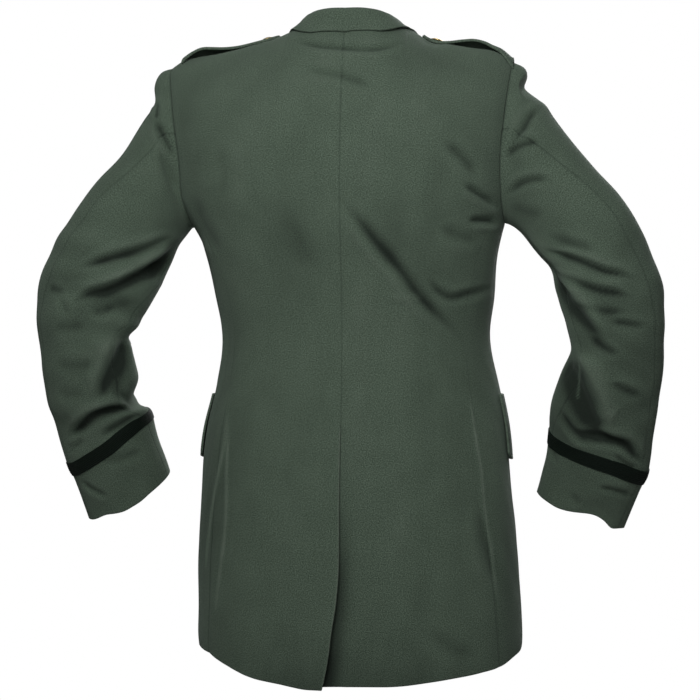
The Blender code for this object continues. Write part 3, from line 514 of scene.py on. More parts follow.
# How far each of a sleeve's rings lies from the next.
RING_LENGTHS = (0.014, 0.016, 0.026, 0.050, 0.052, 0.050, 0.050, 0.044, 0.046, 0.050, 0.036, 0.030, 0.042,
                0.018, 0.056)
LAST_LENGTH = len(RING_LENGTHS) - 1
SLEEVE_ROWS = chained(*[(i, i + 1, steps(length, first=i == 0, last=i == LAST_LENGTH))
                        for i, length in enumerate(RING_LENGTHS)])


def sleeve(side, turn, row):
    """A sleeve's outer face: turn is the point of the armhole that its lengthwise line starts from."""
    _, hind, fore = ring(side, row, turn)
    under = np.clip((turn - HIND_TURN) / (FORE_TURN - HIND_TURN), 0, 1)
    over = ((turn - FORE_TURN) % (2 * math.pi)) / (HIND_TURN + 2 * math.pi - FORE_TURN)
    inside = (turn >= HIND_TURN) & (turn <= FORE_TURN)
    turned = np.where(inside, blend(hind, fore, under), blend(fore, hind + 2 * math.pi, over))
    point, _, _ = ring(side, row, turned)
    first, _, _ = ring(side, np.zeros_like(row), turn)
    edge = armhole(side, turn % (2 * math.pi))
    return point + (edge - first) * (1 - ease(row / 2.2))[..., None]


# --- folds ---
# The folds of each part of the coat, behind (1) and in front (-1). Each is its half width, its depth (a ridge
# has a depth below nothing) and its lean, which is how much more it bulges on the left of its way than on the
# right, then the points that it passes, as x and z. All are in millimetres.
FOLDS = {
    ("torso", 1): [
        (4.5, 4, 0.3, (66, -18), (28, -29), (-4, -33), (-36, -34), (-74, -24)),
        (5.5, 2.7, 0, (53, -52), (22, -62), (-4, -68), (-26, -77), (-42, -92)),
        (7, 3, 0.4, (-118, -142), (-143, -166), (-157, -186)),
        (5, 4.4, 0.5, (-138, -190), (-155, -202), (-172, -212), (-184, -218)),
        (4.5, 5, 0.5, (-142, -235), (-158, -233), (-180, -234)),
        (8, 2.6, 0.2, (-112, -240), (-130, -250), (-160, -258)),
        (5, 3.8, -0.2, (-98, -296), (-110, -314), (-124, -322), (-144, -318), (-174, -307)),
        (7.5, 4.6, 0.6, (8, -202), (-21, -234), (-42, -261), (-67, -290), (-87, -318), (-118, -350),
         (-142, -374)),
        (5, -1.4, 0, (-50, -322), (-73, -324), (-96, -323)),
        (11, 1.8, 0, (146, -142), (138, -179), (146, -217)),
        (9, 2.6, 0.2, (182, -196), (168, -238), (143, -271)),
        (14, 1, 0, (71, -217), (49, -257), (28, -297)),
        (8, 2.8, 0.5, (-156, -556), (-166, -606), (-180, -664)),
        (3, -0.8, 0, (140, -452), (144, -496), (152, -534), (161, -588), (168, -644)),
        (3, -0.8, 0, (138, -462), (139, -511), (139, -594), (144, -634), (153, -694)),
        (3, -0.6, 0, (-144, -432), (-153, -483), (-159, -521), (-164, -570), (-172, -624), (-178, -668)),
        (9, 1.8, 0, (-98, -698), (-127, -723), (-162, -736)),
    ],
    ("torso", -1): [
        (8, 2.2, 0.3, (22, -318), (66, -312), (112, -296), (150, -268)),
        (8, 1.8, -0.3, (-24, -330), (-70, -326), (-118, -312)),
        (9, 2.4, 0, (160, -172), (138, -214), (118, -246)),
        (9, 2.2, 0, (-156, -168), (-136, -206), (-120, -240)),
        (10, 1.6, 0.2, (30, -412), (74, -424), (126, -420)),
        (10, 1.8, -0.2, (-26, -404), (-82, -416), (-130, -402)),
        (13, 2.4, 0, (98, -560), (104, -640), (100, -722)),
        (13, 2, 0, (-92, -580), (-98, -650), (-104, -724)),
        (10, 1.6, 0, (44, -640), (50, -700), (46, -728)),
    ],
    ("left", 1): [
        (4, 4, 0.6, (234, -84), (229, -100), (227, -110)),
        (5.5, 4.4, 0.4, (229, -106), (214, -133), (200, -158)),
        (8, 1.6, 0, (219, -145), (209, -170), (199, -194)),
        (5.5, 5.2, 0.5, (196, -240), (210, -249), (231, -261), (254, -269), (280, -278), (318, -289)),
        (5, 2.6, 0.2, (200, -247), (218, -259), (239, -269), (275, -276)),
        (6.5, 8.5, 0.9, (178, -232), (197, -254), (219, -279), (247, -299), (277, -314), (299, -319),
         (320, -334)),
        (5, -1.6, 0, (226, -274), (254, -293), (287, -304), (332, -306)),
        (9, 6, 0.3, (188, -250), (206, -266), (222, -284), (238, -306)),
        (10, 2.6, 0.4, (240, -322), (272, -334), (304, -330)),
        (5, 2.6, 0.5, (324, -315), (337, -313), (352, -307)),
        (5, 2, 0.5, (322, -343), (328, -330), (331, -320)),
        (7, 1.8, 0.2, (300, -355), (320, -357), (343, -357)),
        (5, 2, -0.3, (266, -330), (284, -340), (296, -336)),
        (8, 2, 0.3, (288, -400), (316, -403), (345, -400)),
        (8, 1.8, 0, (306, -434), (327, -437), (346, -433)),
        (9, 7.5, 0.9, (246, -362), (260, -379), (268, -397), (280, -421), (294, -449)),
        (5, 2.2, 0.3, (258, -386), (264, -409), (271, -431), (276, -449)),
        (4, 2.4, -0.5, (270, -430), (264, -441), (254, -450)),
        (6, 8, 0.7, (250, -449), (270, -453), (283, -456), (301, -462), (319, -474), (345, -491)),
        (4, 2.8, 0.4, (318, -489), (332, -499), (347, -505)),
        (5, 3.6, 0.3, (252, -459), (275, -474), (287, -481), (300, -491)),
        (6, 2.4, 0.3, (250, -504), (280, -516), (302, -520)),
        (4, 3.2, 0.5, (336, -543), (320, -554), (296, -563)),
    ],
    ("left", -1): [
        (7, 3.4, 0.3, (202, -268), (228, -288), (258, -298), (292, -298)),
        (6, 5, 0.6, (212, -300), (240, -322), (272, -330), (306, -324)),
        (7, 6, 0.5, (232, -334), (256, -356), (290, -362), (322, -350)),
        (6, 5.4, 0.5, (246, -370), (270, -388), (300, -386)),
        (7, 3.8, 0.3, (254, -414), (282, -421), (318, -410)),
        (6, 3, 0.3, (258, -444), (286, -450), (330, -442)),
        (8, 2.2, 0, (214, -128), (238, -158), (250, -196)),
        (6, 3.2, 0.3, (262, -474), (296, -486), (330, -480)),
        (5, 2, 0, (262, -520), (296, -534), (322, -540)),
    ],
    ("right", 1): [
        (5, 4.2, -0.5, (-186, -149), (-203, -132), (-217, -110), (-232, -97)),
        (5, 4, -0.3, (-185, -164), (-196, -150), (-207, -145), (-231, -143)),
        (5, 4.2, -0.3, (-186, -204), (-205, -191), (-224, -187), (-243, -188)),
        (8, 2.2, 0, (-188, -214), (-211, -226), (-236, -229)),
        (4.5, 6.6, -0.5, (-228, -262), (-240, -271), (-270, -281), (-302, -294), (-322, -298), (-344, -306)),
        (4.5, 5.2, -0.4, (-238, -292), (-274, -309), (-298, -316), (-314, -318), (-335, -325)),
        (4.5, 2.6, -0.3, (-262, -330), (-290, -338), (-330, -340)),
        (6, 2.6, 0, (-232, -250), (-262, -262), (-296, -272)),
        (4, 2.8, -0.4, (-302, -350), (-329, -354), (-352, -357)),
        (8, 7.5, -0.9, (-190, -238), (-202, -252), (-226, -284), (-240, -304), (-264, -336), (-288, -362),
         (-306, -378)),
        (5, 3.2, -0.3, (-280, -366), (-300, -381), (-320, -391)),
        (5, 3.2, -0.3, (-303, -420), (-331, -432), (-348, -438)),
        (13, 9.5, -0.9, (-250, -374), (-258, -400), (-274, -440), (-290, -474), (-318, -496)),
        (5, 2.4, -0.5, (-262, -376), (-270, -398), (-290, -438), (-304, -470)),
        (6, 7.6, -0.6, (-262, -474), (-284, -485), (-307, -488), (-326, -494), (-336, -506), (-352, -519)),
        (4, 3.8, 0.4, (-248, -450), (-260, -472), (-272, -486), (-287, -497)),
        (4, 3, -0.4, (-310, -502), (-327, -517), (-343, -524)),
        (4, 3.2, -0.5, (-291, -544), (-311, -548), (-338, -556)),
        (4, 2.2, 0.3, (-238, -499), (-241, -509), (-245, -520)),
        (5, 2, 0, (-262, -552), (-268, -561), (-273, -570)),
    ],
    ("right", -1): [
        (7, 3.6, -0.3, (-200, -262), (-230, -282), (-262, -292), (-298, -288)),
        (6, 5.2, -0.6, (-218, -300), (-246, -320), (-280, -328), (-312, -316)),
        (7, 5.2, -0.5, (-238, -344), (-262, -358), (-296, -362), (-330, -352)),
        (6, 5.8, -0.5, (-250, -378), (-274, -392), (-306, -392)),
        (7, 3.4, -0.3, (-250, -420), (-280, -428), (-322, -418)),
        (6, 3.4, -0.3, (-254, -454), (-284, -462), (-330, -452)),
        (8, 2, 0, (-206, -132), (-230, -164), (-244, -200)),
        (5, 2.2, 0, (-252, -530), (-284, -546), (-312, -548)),
    ],
}

# Where the cloth is pulled or pushed to one side, seen from behind, in millimetres: the place (x, z), how far
# the pull reaches across and down, and how far it moves the cloth in x and z.
TUGS = [
    # the skirt's left side, its right side and its hem
    (178, -575, 32, 90, -3.4, 0), (182, -690, 32, 50, -4.6, 0), (176, -745, 32, 16, -3.0, 0),
    (162, -420, 24, 60, -2.2, 0), (178, -248, 14, 16, -2.0, 0.5), (-188, -450, 24, 50, -2.4, 0),
    (-30, -790, 60, 30, 0, 3.4), (-105, -780, 26, 24, 0, 2.6), (-200, -750, 14, 14, 2.2, 3.9),
    (150, -762, 26, 14, -1.0, 2.2), (82, -787, 20, 20, 0, 1.8), (40, -794, 16, 18, 0.4, -7.5),
    # the left sleeve, from its head down to its cuff
    (236, -84, 14, 20, -5.0, -0.6), (280, -152, 40, 40, -3.4, -3.4), (330, -213, 34, 34, -2.4, -2.0),
    (366, -275, 24, 34, -2.8, -1.4), (380, -325, 30, 22, -4.2, 0), (376, -385, 24, 20, -3.0, 0),
    (332, -535, 24, 60, -2.1, 0.9), (309, -586, 12, 12, -1.0, 3.4), (278, -580, 14, 12, -0.8, -2.8),
    (262, -570, 12, 12, -1.4, -1.8), (234, -482, 22, 28, 3.8, 0), (257, -443, 12, 10, 5.4, -5.5),
    (255, -422, 14, 14, -2.8, 0), (263, -367, 12, 8, 3.8, 0), (257, -352, 10, 8, -2.4, -1.0),
    (208, -258, 14, 16, 2.2, 2.0),
    # the right sleeve
    (-214, -74, 9, 12, 9.0, 0), (-226, -82, 10, 10, 0, -3.0), (-206, -241, 20, 16, -2.2, 1.7),
    (-243, -286, 14, 16, -2.8, 1.5), (-265, -384, 12, 10, -2.4, -1.2), (-235, -512, 20, 24, -2.1, 0),
    (-229, -558, 12, 10, 2.0, -1.5), (-243, -570, 14, 12, 2.0, -3.6), (-258, -574, 12, 12, 0, -1.5),
    (-292, -579, 18, 16, -1.5, 6.6), (-311, -595, 8, 8, 1.5, -3.2), (-362, -495, 30, 60, -1.8, 0),
    (-376, -400, 30, 50, -2.3, 0), (-380, -333, 20, 16, 3.2, 0), (-368, -275, 20, 16, 1.8, -0.8),
    (-300, -170, 30, 30, 2.0, -2.0), (-240, -91, 10, 10, -2.0, 1.0),
    # the shoulder seam by the right loop's point
    (-99, -12, 15, 16, 0, -3.6),
]


# Painted highlights on the lines pressed over the seam allowances inside, with half their width, in
# millimetres.
HIGHLIGHT_LINES = [
    (1.6, (140, -452), (144, -496), (152, -534), (161, -588), (168, -650)),
    (1.6, (138, -462), (139, -511), (139, -594), (144, -634), (153, -700)),
    (1.5, (-144, -432), (-153, -483), (-159, -521), (-164, -570), (-172, -624), (-178, -680)),
    (1.4, (-273, -386), (-272, -414), (-270, -444)),
]


# Where the cloth behind turns from the light or hangs in the shade of the cloth above it: the place (x, z),
# how far the shade reaches across and down, all in millimetres, and how dark it is.
SHADES = [
    (184, -560, 28, 150, 0.62), (-198, -600, 24, 150, 0.36), (168, -350, 14, 60, 0.20),
    (-172, -340, 20, 60, 0.30), (0, -795, 240, 62, 0.55), (110, -560, 60, 90, 0.12),
    (300, -305, 60, 60, 0.22), (-312, -305, 60, 62, 0.26), (-258, -440, 20, 58, 0.40),
    (244, -412, 16, 46, 0.34), (-40, -240, 12, 18, 0.10), (-62, -268, 15, 22, 0.14),
    (-86, -298, 15, 24, 0.14), (196, -266, 26, 24, 0.40), (-226, -296, 20, 34, 0.34),
    (-330, -400, 50, 60, 0.12),
]


def spot(points, x, z, across, down):
    """A soft round spot: 1 at x and z, and less with the distance across and down. All but points in mm."""
    from_x, from_z = points[..., 0] * 1000 - x, points[..., 2] * 1000 - z
    return np.exp(-((from_x / across) ** 2) - (from_z / down) ** 2)


def shaded(points, out):
    """How dark each point is for lying in one of the shades."""
    return sum(dark * spot(points, *place) for *place, dark in SHADES) * ease((out[:, 1] + 0.6) / 0.6)


def tugged(points):
    """The points after every tug."""
    moved = np.array(points)
    for *place, move_x, move_z in TUGS:
        pull = spot(points, *place) / 1000
        moved[..., 0] += pull * move_x
        moved[..., 2] += pull * move_z
    return moved


def fold_profile(u, lean):
    """A fold's cross section: a trough 1 deep, and the cloth that it pushes up beside it."""
    left = 0.34 * (1 + lean) * np.exp(-(((u - 1.75) / 0.95) ** 2))
    right = 0.34 * (1 - lean) * np.exp(-(((u + 1.75) / 0.95) ** 2))
    return left + right - np.exp(-(np.abs(u) ** 1.5))


def line_through(points, step=0.003):
    """A smooth line through a few points, and each of its points' share of its length."""
    points = np.asarray(points, float)
    far = np.concatenate([[0], np.cumsum(np.linalg.norm(np.diff(points, axis=0), axis=1))])
    at = np.linspace(0, far[-1], max(3, round(far[-1] / step)))
    columns = [read({"far": far, "value": column}, "value", "far", at) for column in points.T]
    return np.stack(columns, -1), at / far[-1]


def from_line(points, line, share):
    """How far points lie from a line, more than 0 on its left, and how far along it, as a share."""
    start, step = line[:-1], np.diff(line, axis=0)
    offset = points[:, None] - start
    t = np.clip((offset * step).sum(-1) / (step**2).sum(-1), 0, 1)
    gap = offset - step * t[..., None]
    distance = np.linalg.norm(gap, axis=-1)
    closest = distance.argmin(1)
    pick = np.arange(len(points)), closest
    turned = step[closest, 0] * gap[pick][:, 1] - step[closest, 1] * gap[pick][:, 0]
    return distance[pick] * np.where(turned >= 0, 1, -1), share[closest] + t[pick] * (share[1] - share[0])


def beside_line(points, line, reach):
    """Which points lie within reach of the box round a line of x and z."""
    flat = points[:, [0, 2]]
    return (flat > line.min(0) - reach).all(1) & (flat < line.max(0) + reach).all(1)


def painted_highlight_lines(points, out):
    """How much lighter each point is painted, as a highlight, for lying on one of the pressed lines."""
    total = np.zeros(len(points))
    for width, *passes in HIGHLIGHT_LINES:
        line, share = line_through(np.array(passes) / 1000)
        near = np.flatnonzero(beside_line(points, line, 0.010) & (out[:, 1] > 0))
        if len(near):
            distance, along = from_line(points[near][:, [0, 2]], line, share)
            fade = ease(along / 0.15) * ease((1 - along) / 0.15)
            total[near] += fade * np.exp(-((distance * 1000 / width) ** 2))
    return total


def folded(points, out, part):
    """How far folds move each point along its normal. A fold presses only the cloth that faces its way."""
    moved = np.zeros(len(points))
    for face in (1, -1):
        facing = ease((face * out[:, 1] + (0.02 if face > 0 else -0.16)) / 0.42)
        for width, depth, lean, *passes in FOLDS[part, face]:
            line, share = line_through(np.array(passes) / 1000)
            width, depth = width / 1000, depth / 1000
            near = np.flatnonzero(beside_line(points, line, 4.5 * width) & (facing > 0))
            if not len(near):
                continue
            signed, along = from_line(points[near][:, [0, 2]], line, share)
            strength = ease(along / 0.3) * ease((1 - along) / 0.3)
            u = signed / (width * (0.55 + 0.45 * strength))
            moved[near] += depth * strength * facing[near] * fold_profile(u, lean)
    return moved


def rumple(points, seed, across, along, depth):
    """Soft unevenness of the cloth, in waves of about those lengths across and along, by seed."""
    draw = np.random.default_rng(seed)
    total = np.zeros(len(points))
    for _ in range(6):
        wave = draw.normal(size=3) * 4 / np.array((across, across, along))
        gate = draw.normal(size=3) * 4 / 0.22
        swell = 0.5 + 0.5 * np.sin(points @ gate + draw.uniform(0, 6.28))
        total += swell * np.sin(points @ wave + draw.uniform(0, 6.28))
    return depth * total / 2.4


# --- cloth shells ---
SEAM_DIP = 0.0003  # how deep a seam lies
SEAM_REACH = 0.0012  # how far beside it the cloth dips
HELD = 0.014  # how far beside a sewn edge the folds grow to their full depth
UPPER = 0.20  # about how long a back or front is down to the side seam's top
LOWER = 0.54  # and from there to the hem
LINE_HIGHLIGHT = 1.1  # how light the painted highlights on the pressed lines are
FULL_LIFT = 0.005  # how far a fold moves the cloth where its painted shade in a trough, or its lightening on a crest, is full
RIM_WEAR_AND_HIGHLIGHT = 0.45  # how light the free edges are: rubbed wear and a painted highlight along each folded edge
SEWN_ROUNDING = 0.00012  # of an edge in a seam
FREE_ROUNDING = 0.0006  # of a free edge
SEWN_INSET = -0.00010  # an edge in a seam reaches a little past it, so that no light gets through


def dip(*distances):
    """How deep the seams that lie those distances away pull the face in."""
    return SEAM_DIP * sum(np.exp(-((distance / SEAM_REACH) ** 2)) for distance in distances)


def laid_flat(grid):
    """Each point's place on the flat cloth, in metres: across from the middle column, and down."""
    lengths = np.linalg.norm(np.diff(grid, axis=1), axis=-1)
    across = np.concatenate([0 * grid[:, :1, 0], np.cumsum(lengths, axis=1)], 1)
    across = across - across[:, [grid.shape[1] // 2]]
    down = np.linalg.norm(np.diff(grid, axis=0), axis=-1).mean(1)
    down = np.concatenate([[0], -np.cumsum(down)])[:, None] + 0 * across
    return np.stack([across, down], -1)


def face_normals(points, faces):
    """Each face's normal, as long as its area is large."""
    corners = points[faces]
    return np.cross(corners[:, 2] - corners[:, 0], corners[:, 3] - corners[:, 1]) / 2


def unit(vectors):
    return vectors / np.maximum(np.linalg.norm(vectors, axis=-1, keepdims=True), 1e-12)


def grid_piece(grid, away, sink=0.0, hold=1.0, free=1.0):
    """A grid of points as a piece of cloth.

    sink is the seams' dip, hold how freely each point moves, and free is 0 where an edge is sewn to another.
    """
    rows, columns = grid.shape[:2]
    index = np.arange(rows * columns).reshape(rows, columns)
    faces = np.stack([index[:-1, :-1], index[:-1, 1:], index[1:, 1:], index[1:, :-1]], -1).reshape(-1, 4)
    points = grid.reshape(-1, 3)
    if (face_normals(points, faces) * (points - np.asarray(away).reshape(-1, 3))[faces[:, 0]]).sum() < 0:
        faces = faces[:, ::-1]
    flat = 0 * grid[..., 0]
    return {
        "points": points,
        "faces": faces,
        "flat": laid_flat(grid).reshape(-1, 2),
        "sink": (sink + flat).reshape(-1),
        "hold": (hold + flat).reshape(-1),
        "free": (free + flat).reshape(-1),
    }


def places_of(points):
    """A number for each point, which points in the same place share."""
    return np.unique(np.round(points / 2e-5).astype(int), axis=0, return_index=True, return_inverse=True)[1:]


def joined(*pieces):
    """Pieces as one, with the points that lie in the same place made one."""
    points = np.concatenate([piece["points"] for piece in pieces])
    starts = np.cumsum([0] + [len(piece["points"]) for piece in pieces])
    first, index = places_of(points)
    faces = np.concatenate([piece["faces"] + start for piece, start in zip(pieces, starts)])
    whole = {"points": points[first], "faces": index.reshape(-1)[faces]}
    for name in ("flat", "sink", "hold", "free"):
        whole[name] = np.concatenate([piece[name] for piece in pieces])[first]
    return whole


def rim_of(faces):
    """The edges that only one face has, each as that face runs along it."""
    edges = np.concatenate([np.stack([faces[:, i], faces[:, (i + 1) % 4]], -1) for i in range(4)])
    _, index, count = np.unique(np.sort(edges, axis=1), axis=0, return_inverse=True, return_counts=True)
    return edges[count[index.reshape(-1)] == 1]


def shared_normals(pieces, index):
    """Each piece's point normals. Points that started in one place share one, so that seams stay shut."""
    total = np.zeros((index.max() + 1, 3))
    start = 0
    for piece in pieces:
        own = face_normals(piece["points"], piece["faces"])
        places = index[start + piece["faces"]]
        for i in range(4):
            np.add.at(total, places[:, i], own)
        start += len(piece["points"])
    every = unit(total[index])
    cuts = np.cumsum([len(piece["points"]) for piece in pieces])[:-1]
    return np.split(every, cuts)


def sew(pieces, move, pull=lambda points: points):
    """Pieces that meet along their seams, moved into their folds and then pulled, each with its normals."""
    rows = list(pieces.values())
    _, index = places_of(np.concatenate([piece["points"] for piece in rows]))
    index = index.reshape(-1)
    for piece, out in zip(rows, shared_normals(rows, index)):
        moved = move(piece["points"], out) * piece["hold"]
        piece["pressed"] = moved
        piece["points"] = pull(piece["points"] + out * moved[:, None])
    for piece, out in zip(rows, shared_normals(rows, index)):
        piece["out"] = out
    return pieces


def shell(name, piece, thick, finish, lining=None):
    """One closed shell: the piece, the same moved in by its thickness, and a rounded rim between them."""
    points, faces, out = piece["points"], piece["faces"], piece["out"]
    rim = rim_of(faces)
    inward = np.zeros_like(points)
    along = unit(points[rim[:, 1]] - points[rim[:, 0]])
    for end in (0, 1):
        np.add.at(inward, rim[:, end], np.cross(out[rim[:, end]], along) / 2)
    inward = unit(inward) * (np.linalg.norm(inward, axis=1) > 1e-6)[:, None]
    rounding = blend(SEWN_ROUNDING, min(0.3 * thick, FREE_ROUNDING), piece["free"])[:, None]
    edge = points + inward * blend(SEWN_INSET, SEAM_GAP / 2, piece["free"])[:, None]
    on_rim = np.unique(rim)
    is_rim = np.zeros(len(points))
    is_rim[on_rim] = 1
    outer = edge + inward * rounding - out * (piece["sink"][:, None] + is_rim[:, None] * rounding * 0.6)
    inner = edge + inward * rounding - out * (thick - is_rim[:, None] * rounding * 0.6)
    middle = edge[on_rim] - out[on_rim] * thick / 2
    count = len(points)
    place = np.zeros(count, int)
    place[on_rim] = 2 * count + np.arange(len(on_rim))
    a, b = rim[:, 0], rim[:, 1]
    sides = np.concatenate([
        np.stack([b, a, place[a], place[b]], -1),
        np.stack([place[b], place[a], a + count, b + count], -1),
    ])
    mesh = bpy.data.meshes.new(name)
    every = np.concatenate([outer, inner, middle])
    mesh.from_pydata(every.tolist(), [], np.concatenate([faces, faces[:, ::-1] + count, sides]).tolist())
    mesh.materials.append(finish)
    if lining:
        mesh.materials.append(lining)
        kinds = np.zeros(2 * len(faces) + len(sides), np.int32)
        kinds[len(faces):2 * len(faces)] = 1
        mesh.polygons.foreach_set("material_index", kinds)
    lay_flat(mesh, np.concatenate([piece["flat"], piece["flat"], piece["flat"][on_rim]]))
    # Painted shade where a fold presses the cloth in, darkest in deep troughs, and lighter as rubbed wear
    # where it stands up; then each piece's own painted shade or highlight.
    lift = np.clip(piece.get("pressed", 0 * is_rim) / FULL_LIFT, -1, 1)
    wear_and_painted_light = np.where(lift > 0, 0.6 * lift, -(np.abs(lift) ** 1.3)) + piece.get("shade", 0)
    # Painted highlights along the pressed lines, and painted shade where the cloth lies in one of the listed
    # shades.
    wear_and_painted_light = wear_and_painted_light + LINE_HIGHLIGHT * painted_highlight_lines(points, out) - shaded(points, out)
    # Free edges lighter, as rubbed wear and a painted highlight; seams and stitch rows darker, as painted
    # shade in their dip.
    wear_and_painted_light = np.clip(wear_and_painted_light + RIM_WEAR_AND_HIGHLIGHT * is_rim * piece["free"] - 0.5 * piece["sink"] / SEAM_DIP, -1, 1)
    store(mesh, "wear_and_painted_light", np.concatenate([wear_and_painted_light, wear_and_painted_light * 0, wear_and_painted_light[on_rim]]))
    mesh.validate()
    mesh.shade_smooth()
    return place_object(name, mesh)


def lay_flat(mesh, flat):
    """Gives a mesh its UV map, in metres, from each point's place on the flat cloth."""
    corners = np.empty(len(mesh.loops), np.int32)
    mesh.loops.foreach_get("vertex_index", corners)
    layer = mesh.uv_layers.new(name="cloth")
    layer.data.foreach_set("uv", flat[corners].astype(np.float32).reshape(-1))


def store(mesh, name, values):
    """A number for each point of a mesh, for its material to read."""
    mesh.attributes.new(name, "FLOAT", "POINT").data.foreach_set("value", np.asarray(values, np.float32))


def place_object(name, mesh):
    obj = bpy.data.objects.new(name, mesh)
    bpy.context.scene.collection.objects.link(obj)
    return obj


def name_of(side):
    return "left" if side > 0 else "right"


def upright_axis(grid):
    """The points of the upright line through the origin, level with each point of the grid."""
    return np.stack([0 * grid[..., 0], 0 * grid[..., 0], grid[..., 2]], -1)


# --- the pieces' forms ---
def held_beside(distance, v):
    """How freely a back or front moves into its folds: less beside its armhole and its shoulder seam."""
    return blend(ease(distance / HELD), 1, ease((v - 1) * LOWER / HELD)) * ease((v + 0.01) / 0.06)


def lower_dip(distance, z):
    """The dip of a side-back seam, which is pressed flatter above the waist."""
    return (0.15 + 0.45 * ease((-0.42 - z) / 0.08)) * dip(distance)


def back_form(side):
    neck = NECK_HALF / tip_x(side)
    shares = chained((0, neck, steps(NECK_HALF)), (neck, 1, SHOULDER_STEPS))
    s, v = np.meshgrid(shares, ROWS)
    grid = back_panel(side, s, v)
    z = grid[..., 2]
    open_vent = v > 1 + VENT_SHARE + 1e-6
    width = 0.19
    hold = held_beside((1 - s) * width, v)
    sink = dip(v * UPPER) + lower_dip((1 - s) * width, z) + np.where(open_vent, 0, 0.5 * dip(s * width))
    free = (v == 2) | (open_vent & (s == 0))
    if side > 0:
        grid[..., 0] += open_vent * read(VENT, "swing", "z", z) * (1 - s) ** 2
        near = ease(1 - grid[..., 0] / 0.075)
        grid[..., 1] = skin(grid[..., 0], z, 1) + open_vent * read(VENT, "lift", "z", z) * near
        # A painted highlight along the left back's folded free edge in the vent.
        edge = open_vent * np.exp(-((s * width / 0.0016) ** 2))
        return {**grid_piece(grid, upright_axis(grid), sink, hold, free), "shade": 1.6 * edge.reshape(-1)}
    sunk = VENT_SINK * ease(1 + grid[..., 0] / 0.010) * ease((VENT_TOP_Z - z) / 0.006)
    grid[..., 1] -= open_vent * sunk
    first = int(np.argmax(ROWS > 1 + VENT_SHARE + 1e-6))
    under = VENT_UNDERLAP * steps(VENT_UNDERLAP, first=False)
    tuck = grid[first:, :1].repeat(len(under), 1)
    tuck[..., 0] = under
    tuck[..., 1] = skin(tuck[..., 0], tuck[..., 2], 1) - VENT_SINK * ease((VENT_TOP_Z - tuck[..., 2]) / 0.006)
    main = grid_piece(grid, upright_axis(grid), sink, hold, free)
    piece = joined(main, grid_piece(tuck, upright_axis(tuck)))
    x, z = piece["points"][:, 0], piece["points"][:, 2]
    # Painted shadow on the right back's underlap in the vent, beside the left back's free edge, darker
    # towards the hem.
    beyond = (read(VENT, "swing", "z", z) - x) / 0.014
    return {**piece, "shade": -0.80 * ease((-0.52 - z) / 0.16) * np.exp(-(np.maximum(beyond, 0) ** 2))}


def front_form(side):
    s, v = np.meshgrid(1 - SHOULDER_STEPS[::-1], ROWS)
    grid = front_panel(side, s, v)
    width = 0.16
    sink = dip(s * width, v * UPPER)
    return grid_piece(grid, upright_axis(grid), sink, held_beside(s * width, v), (v == 2) | (s == 1))


def side_form(side):
    s, v = np.meshgrid(UNDER_ARM, BELOW)
    grid = side_panel(side, s, v)
    width = 0.10
    sink = dip((1 - s) * width, v * LOWER) + lower_dip(s * width, grid[..., 2])
    return grid_piece(grid, upright_axis(grid), sink, ease(v * LOWER / HELD), v == 1)


def torso_move(points, out):
    behind = ease((out[:, 1] + 0.3) / 0.6)
    soft = rumple(points, 11, 0.070, 0.300, 0.0010) + rumple(points, 12, 0.110, 0.110, 0.0007)
    tight = rumple(points, 13, 0.034, 0.060, 0.00028)
    ahead = rumple(points, 14, 0.080, 0.260, 0.0012)
    return folded(points, out, "torso") + behind * soft + (1 - behind) * ahead + tight


def whole_sleeve(side):
    """A whole sleeve in its folds, before it is parted at its two seams: its grid of points and normals."""
    turn, row = np.meshgrid(TURNS, SLEEVE_ROWS)
    grid = sleeve(side, turn, row)
    outer, _, _ = ring(side, row, 0 * row)
    inner, _, _ = ring(side, row, math.pi + 0 * row)
    hold = ease(row / 0.8)
    piece = grid_piece(grid, (outer + inner) / 2, 0.0, hold)
    elbow = np.exp(-(((row.reshape(-1) - 8.5) / 3.2) ** 2))

    def move(points, out):
        soft = rumple(points, 21 + side, 0.090, 0.060, 0.0011)
        soft = soft + rumple(points, 23 + side, 0.050, 0.034, 0.0005)
        soft = soft * (0.6 + 0.9 * elbow) * (0.3 + 0.7 * np.abs(out[:, 1]))
        return folded(points, out, name_of(side)) + soft

    sew({"sleeve": piece}, move, tugged)
    shape = grid.shape
    return {name: piece[name].reshape(*shape[:2], -1) for name in ("points", "out", "pressed")}


ALLOWANCE = 0.0042  # how far a sleeve's edge reaches under the body's cloth
ALLOWANCE_DEPTH = 0.0026  # and how far below its face it lies there


def tucked(side, edge, middle):
    """A sleeve's seam allowance: its edge, moved under the body's cloth, away from the armhole's middle."""
    away = unit((edge - middle) * (0, 1, 1))
    level, up, down = np.abs(away[..., 1]), np.maximum(away[..., 2], 0), np.maximum(-away[..., 2], 0)
    under = unit(np.stack([-side * (0.85 * level + up), 0.5 * away[..., 1], 0.1 * up - down], -1))
    outward = unit(np.stack([side * (0.5 * level + down + 0.1 * up), 0.85 * away[..., 1], up], -1))
    return edge + under * ALLOWANCE - outward * ALLOWANCE_DEPTH


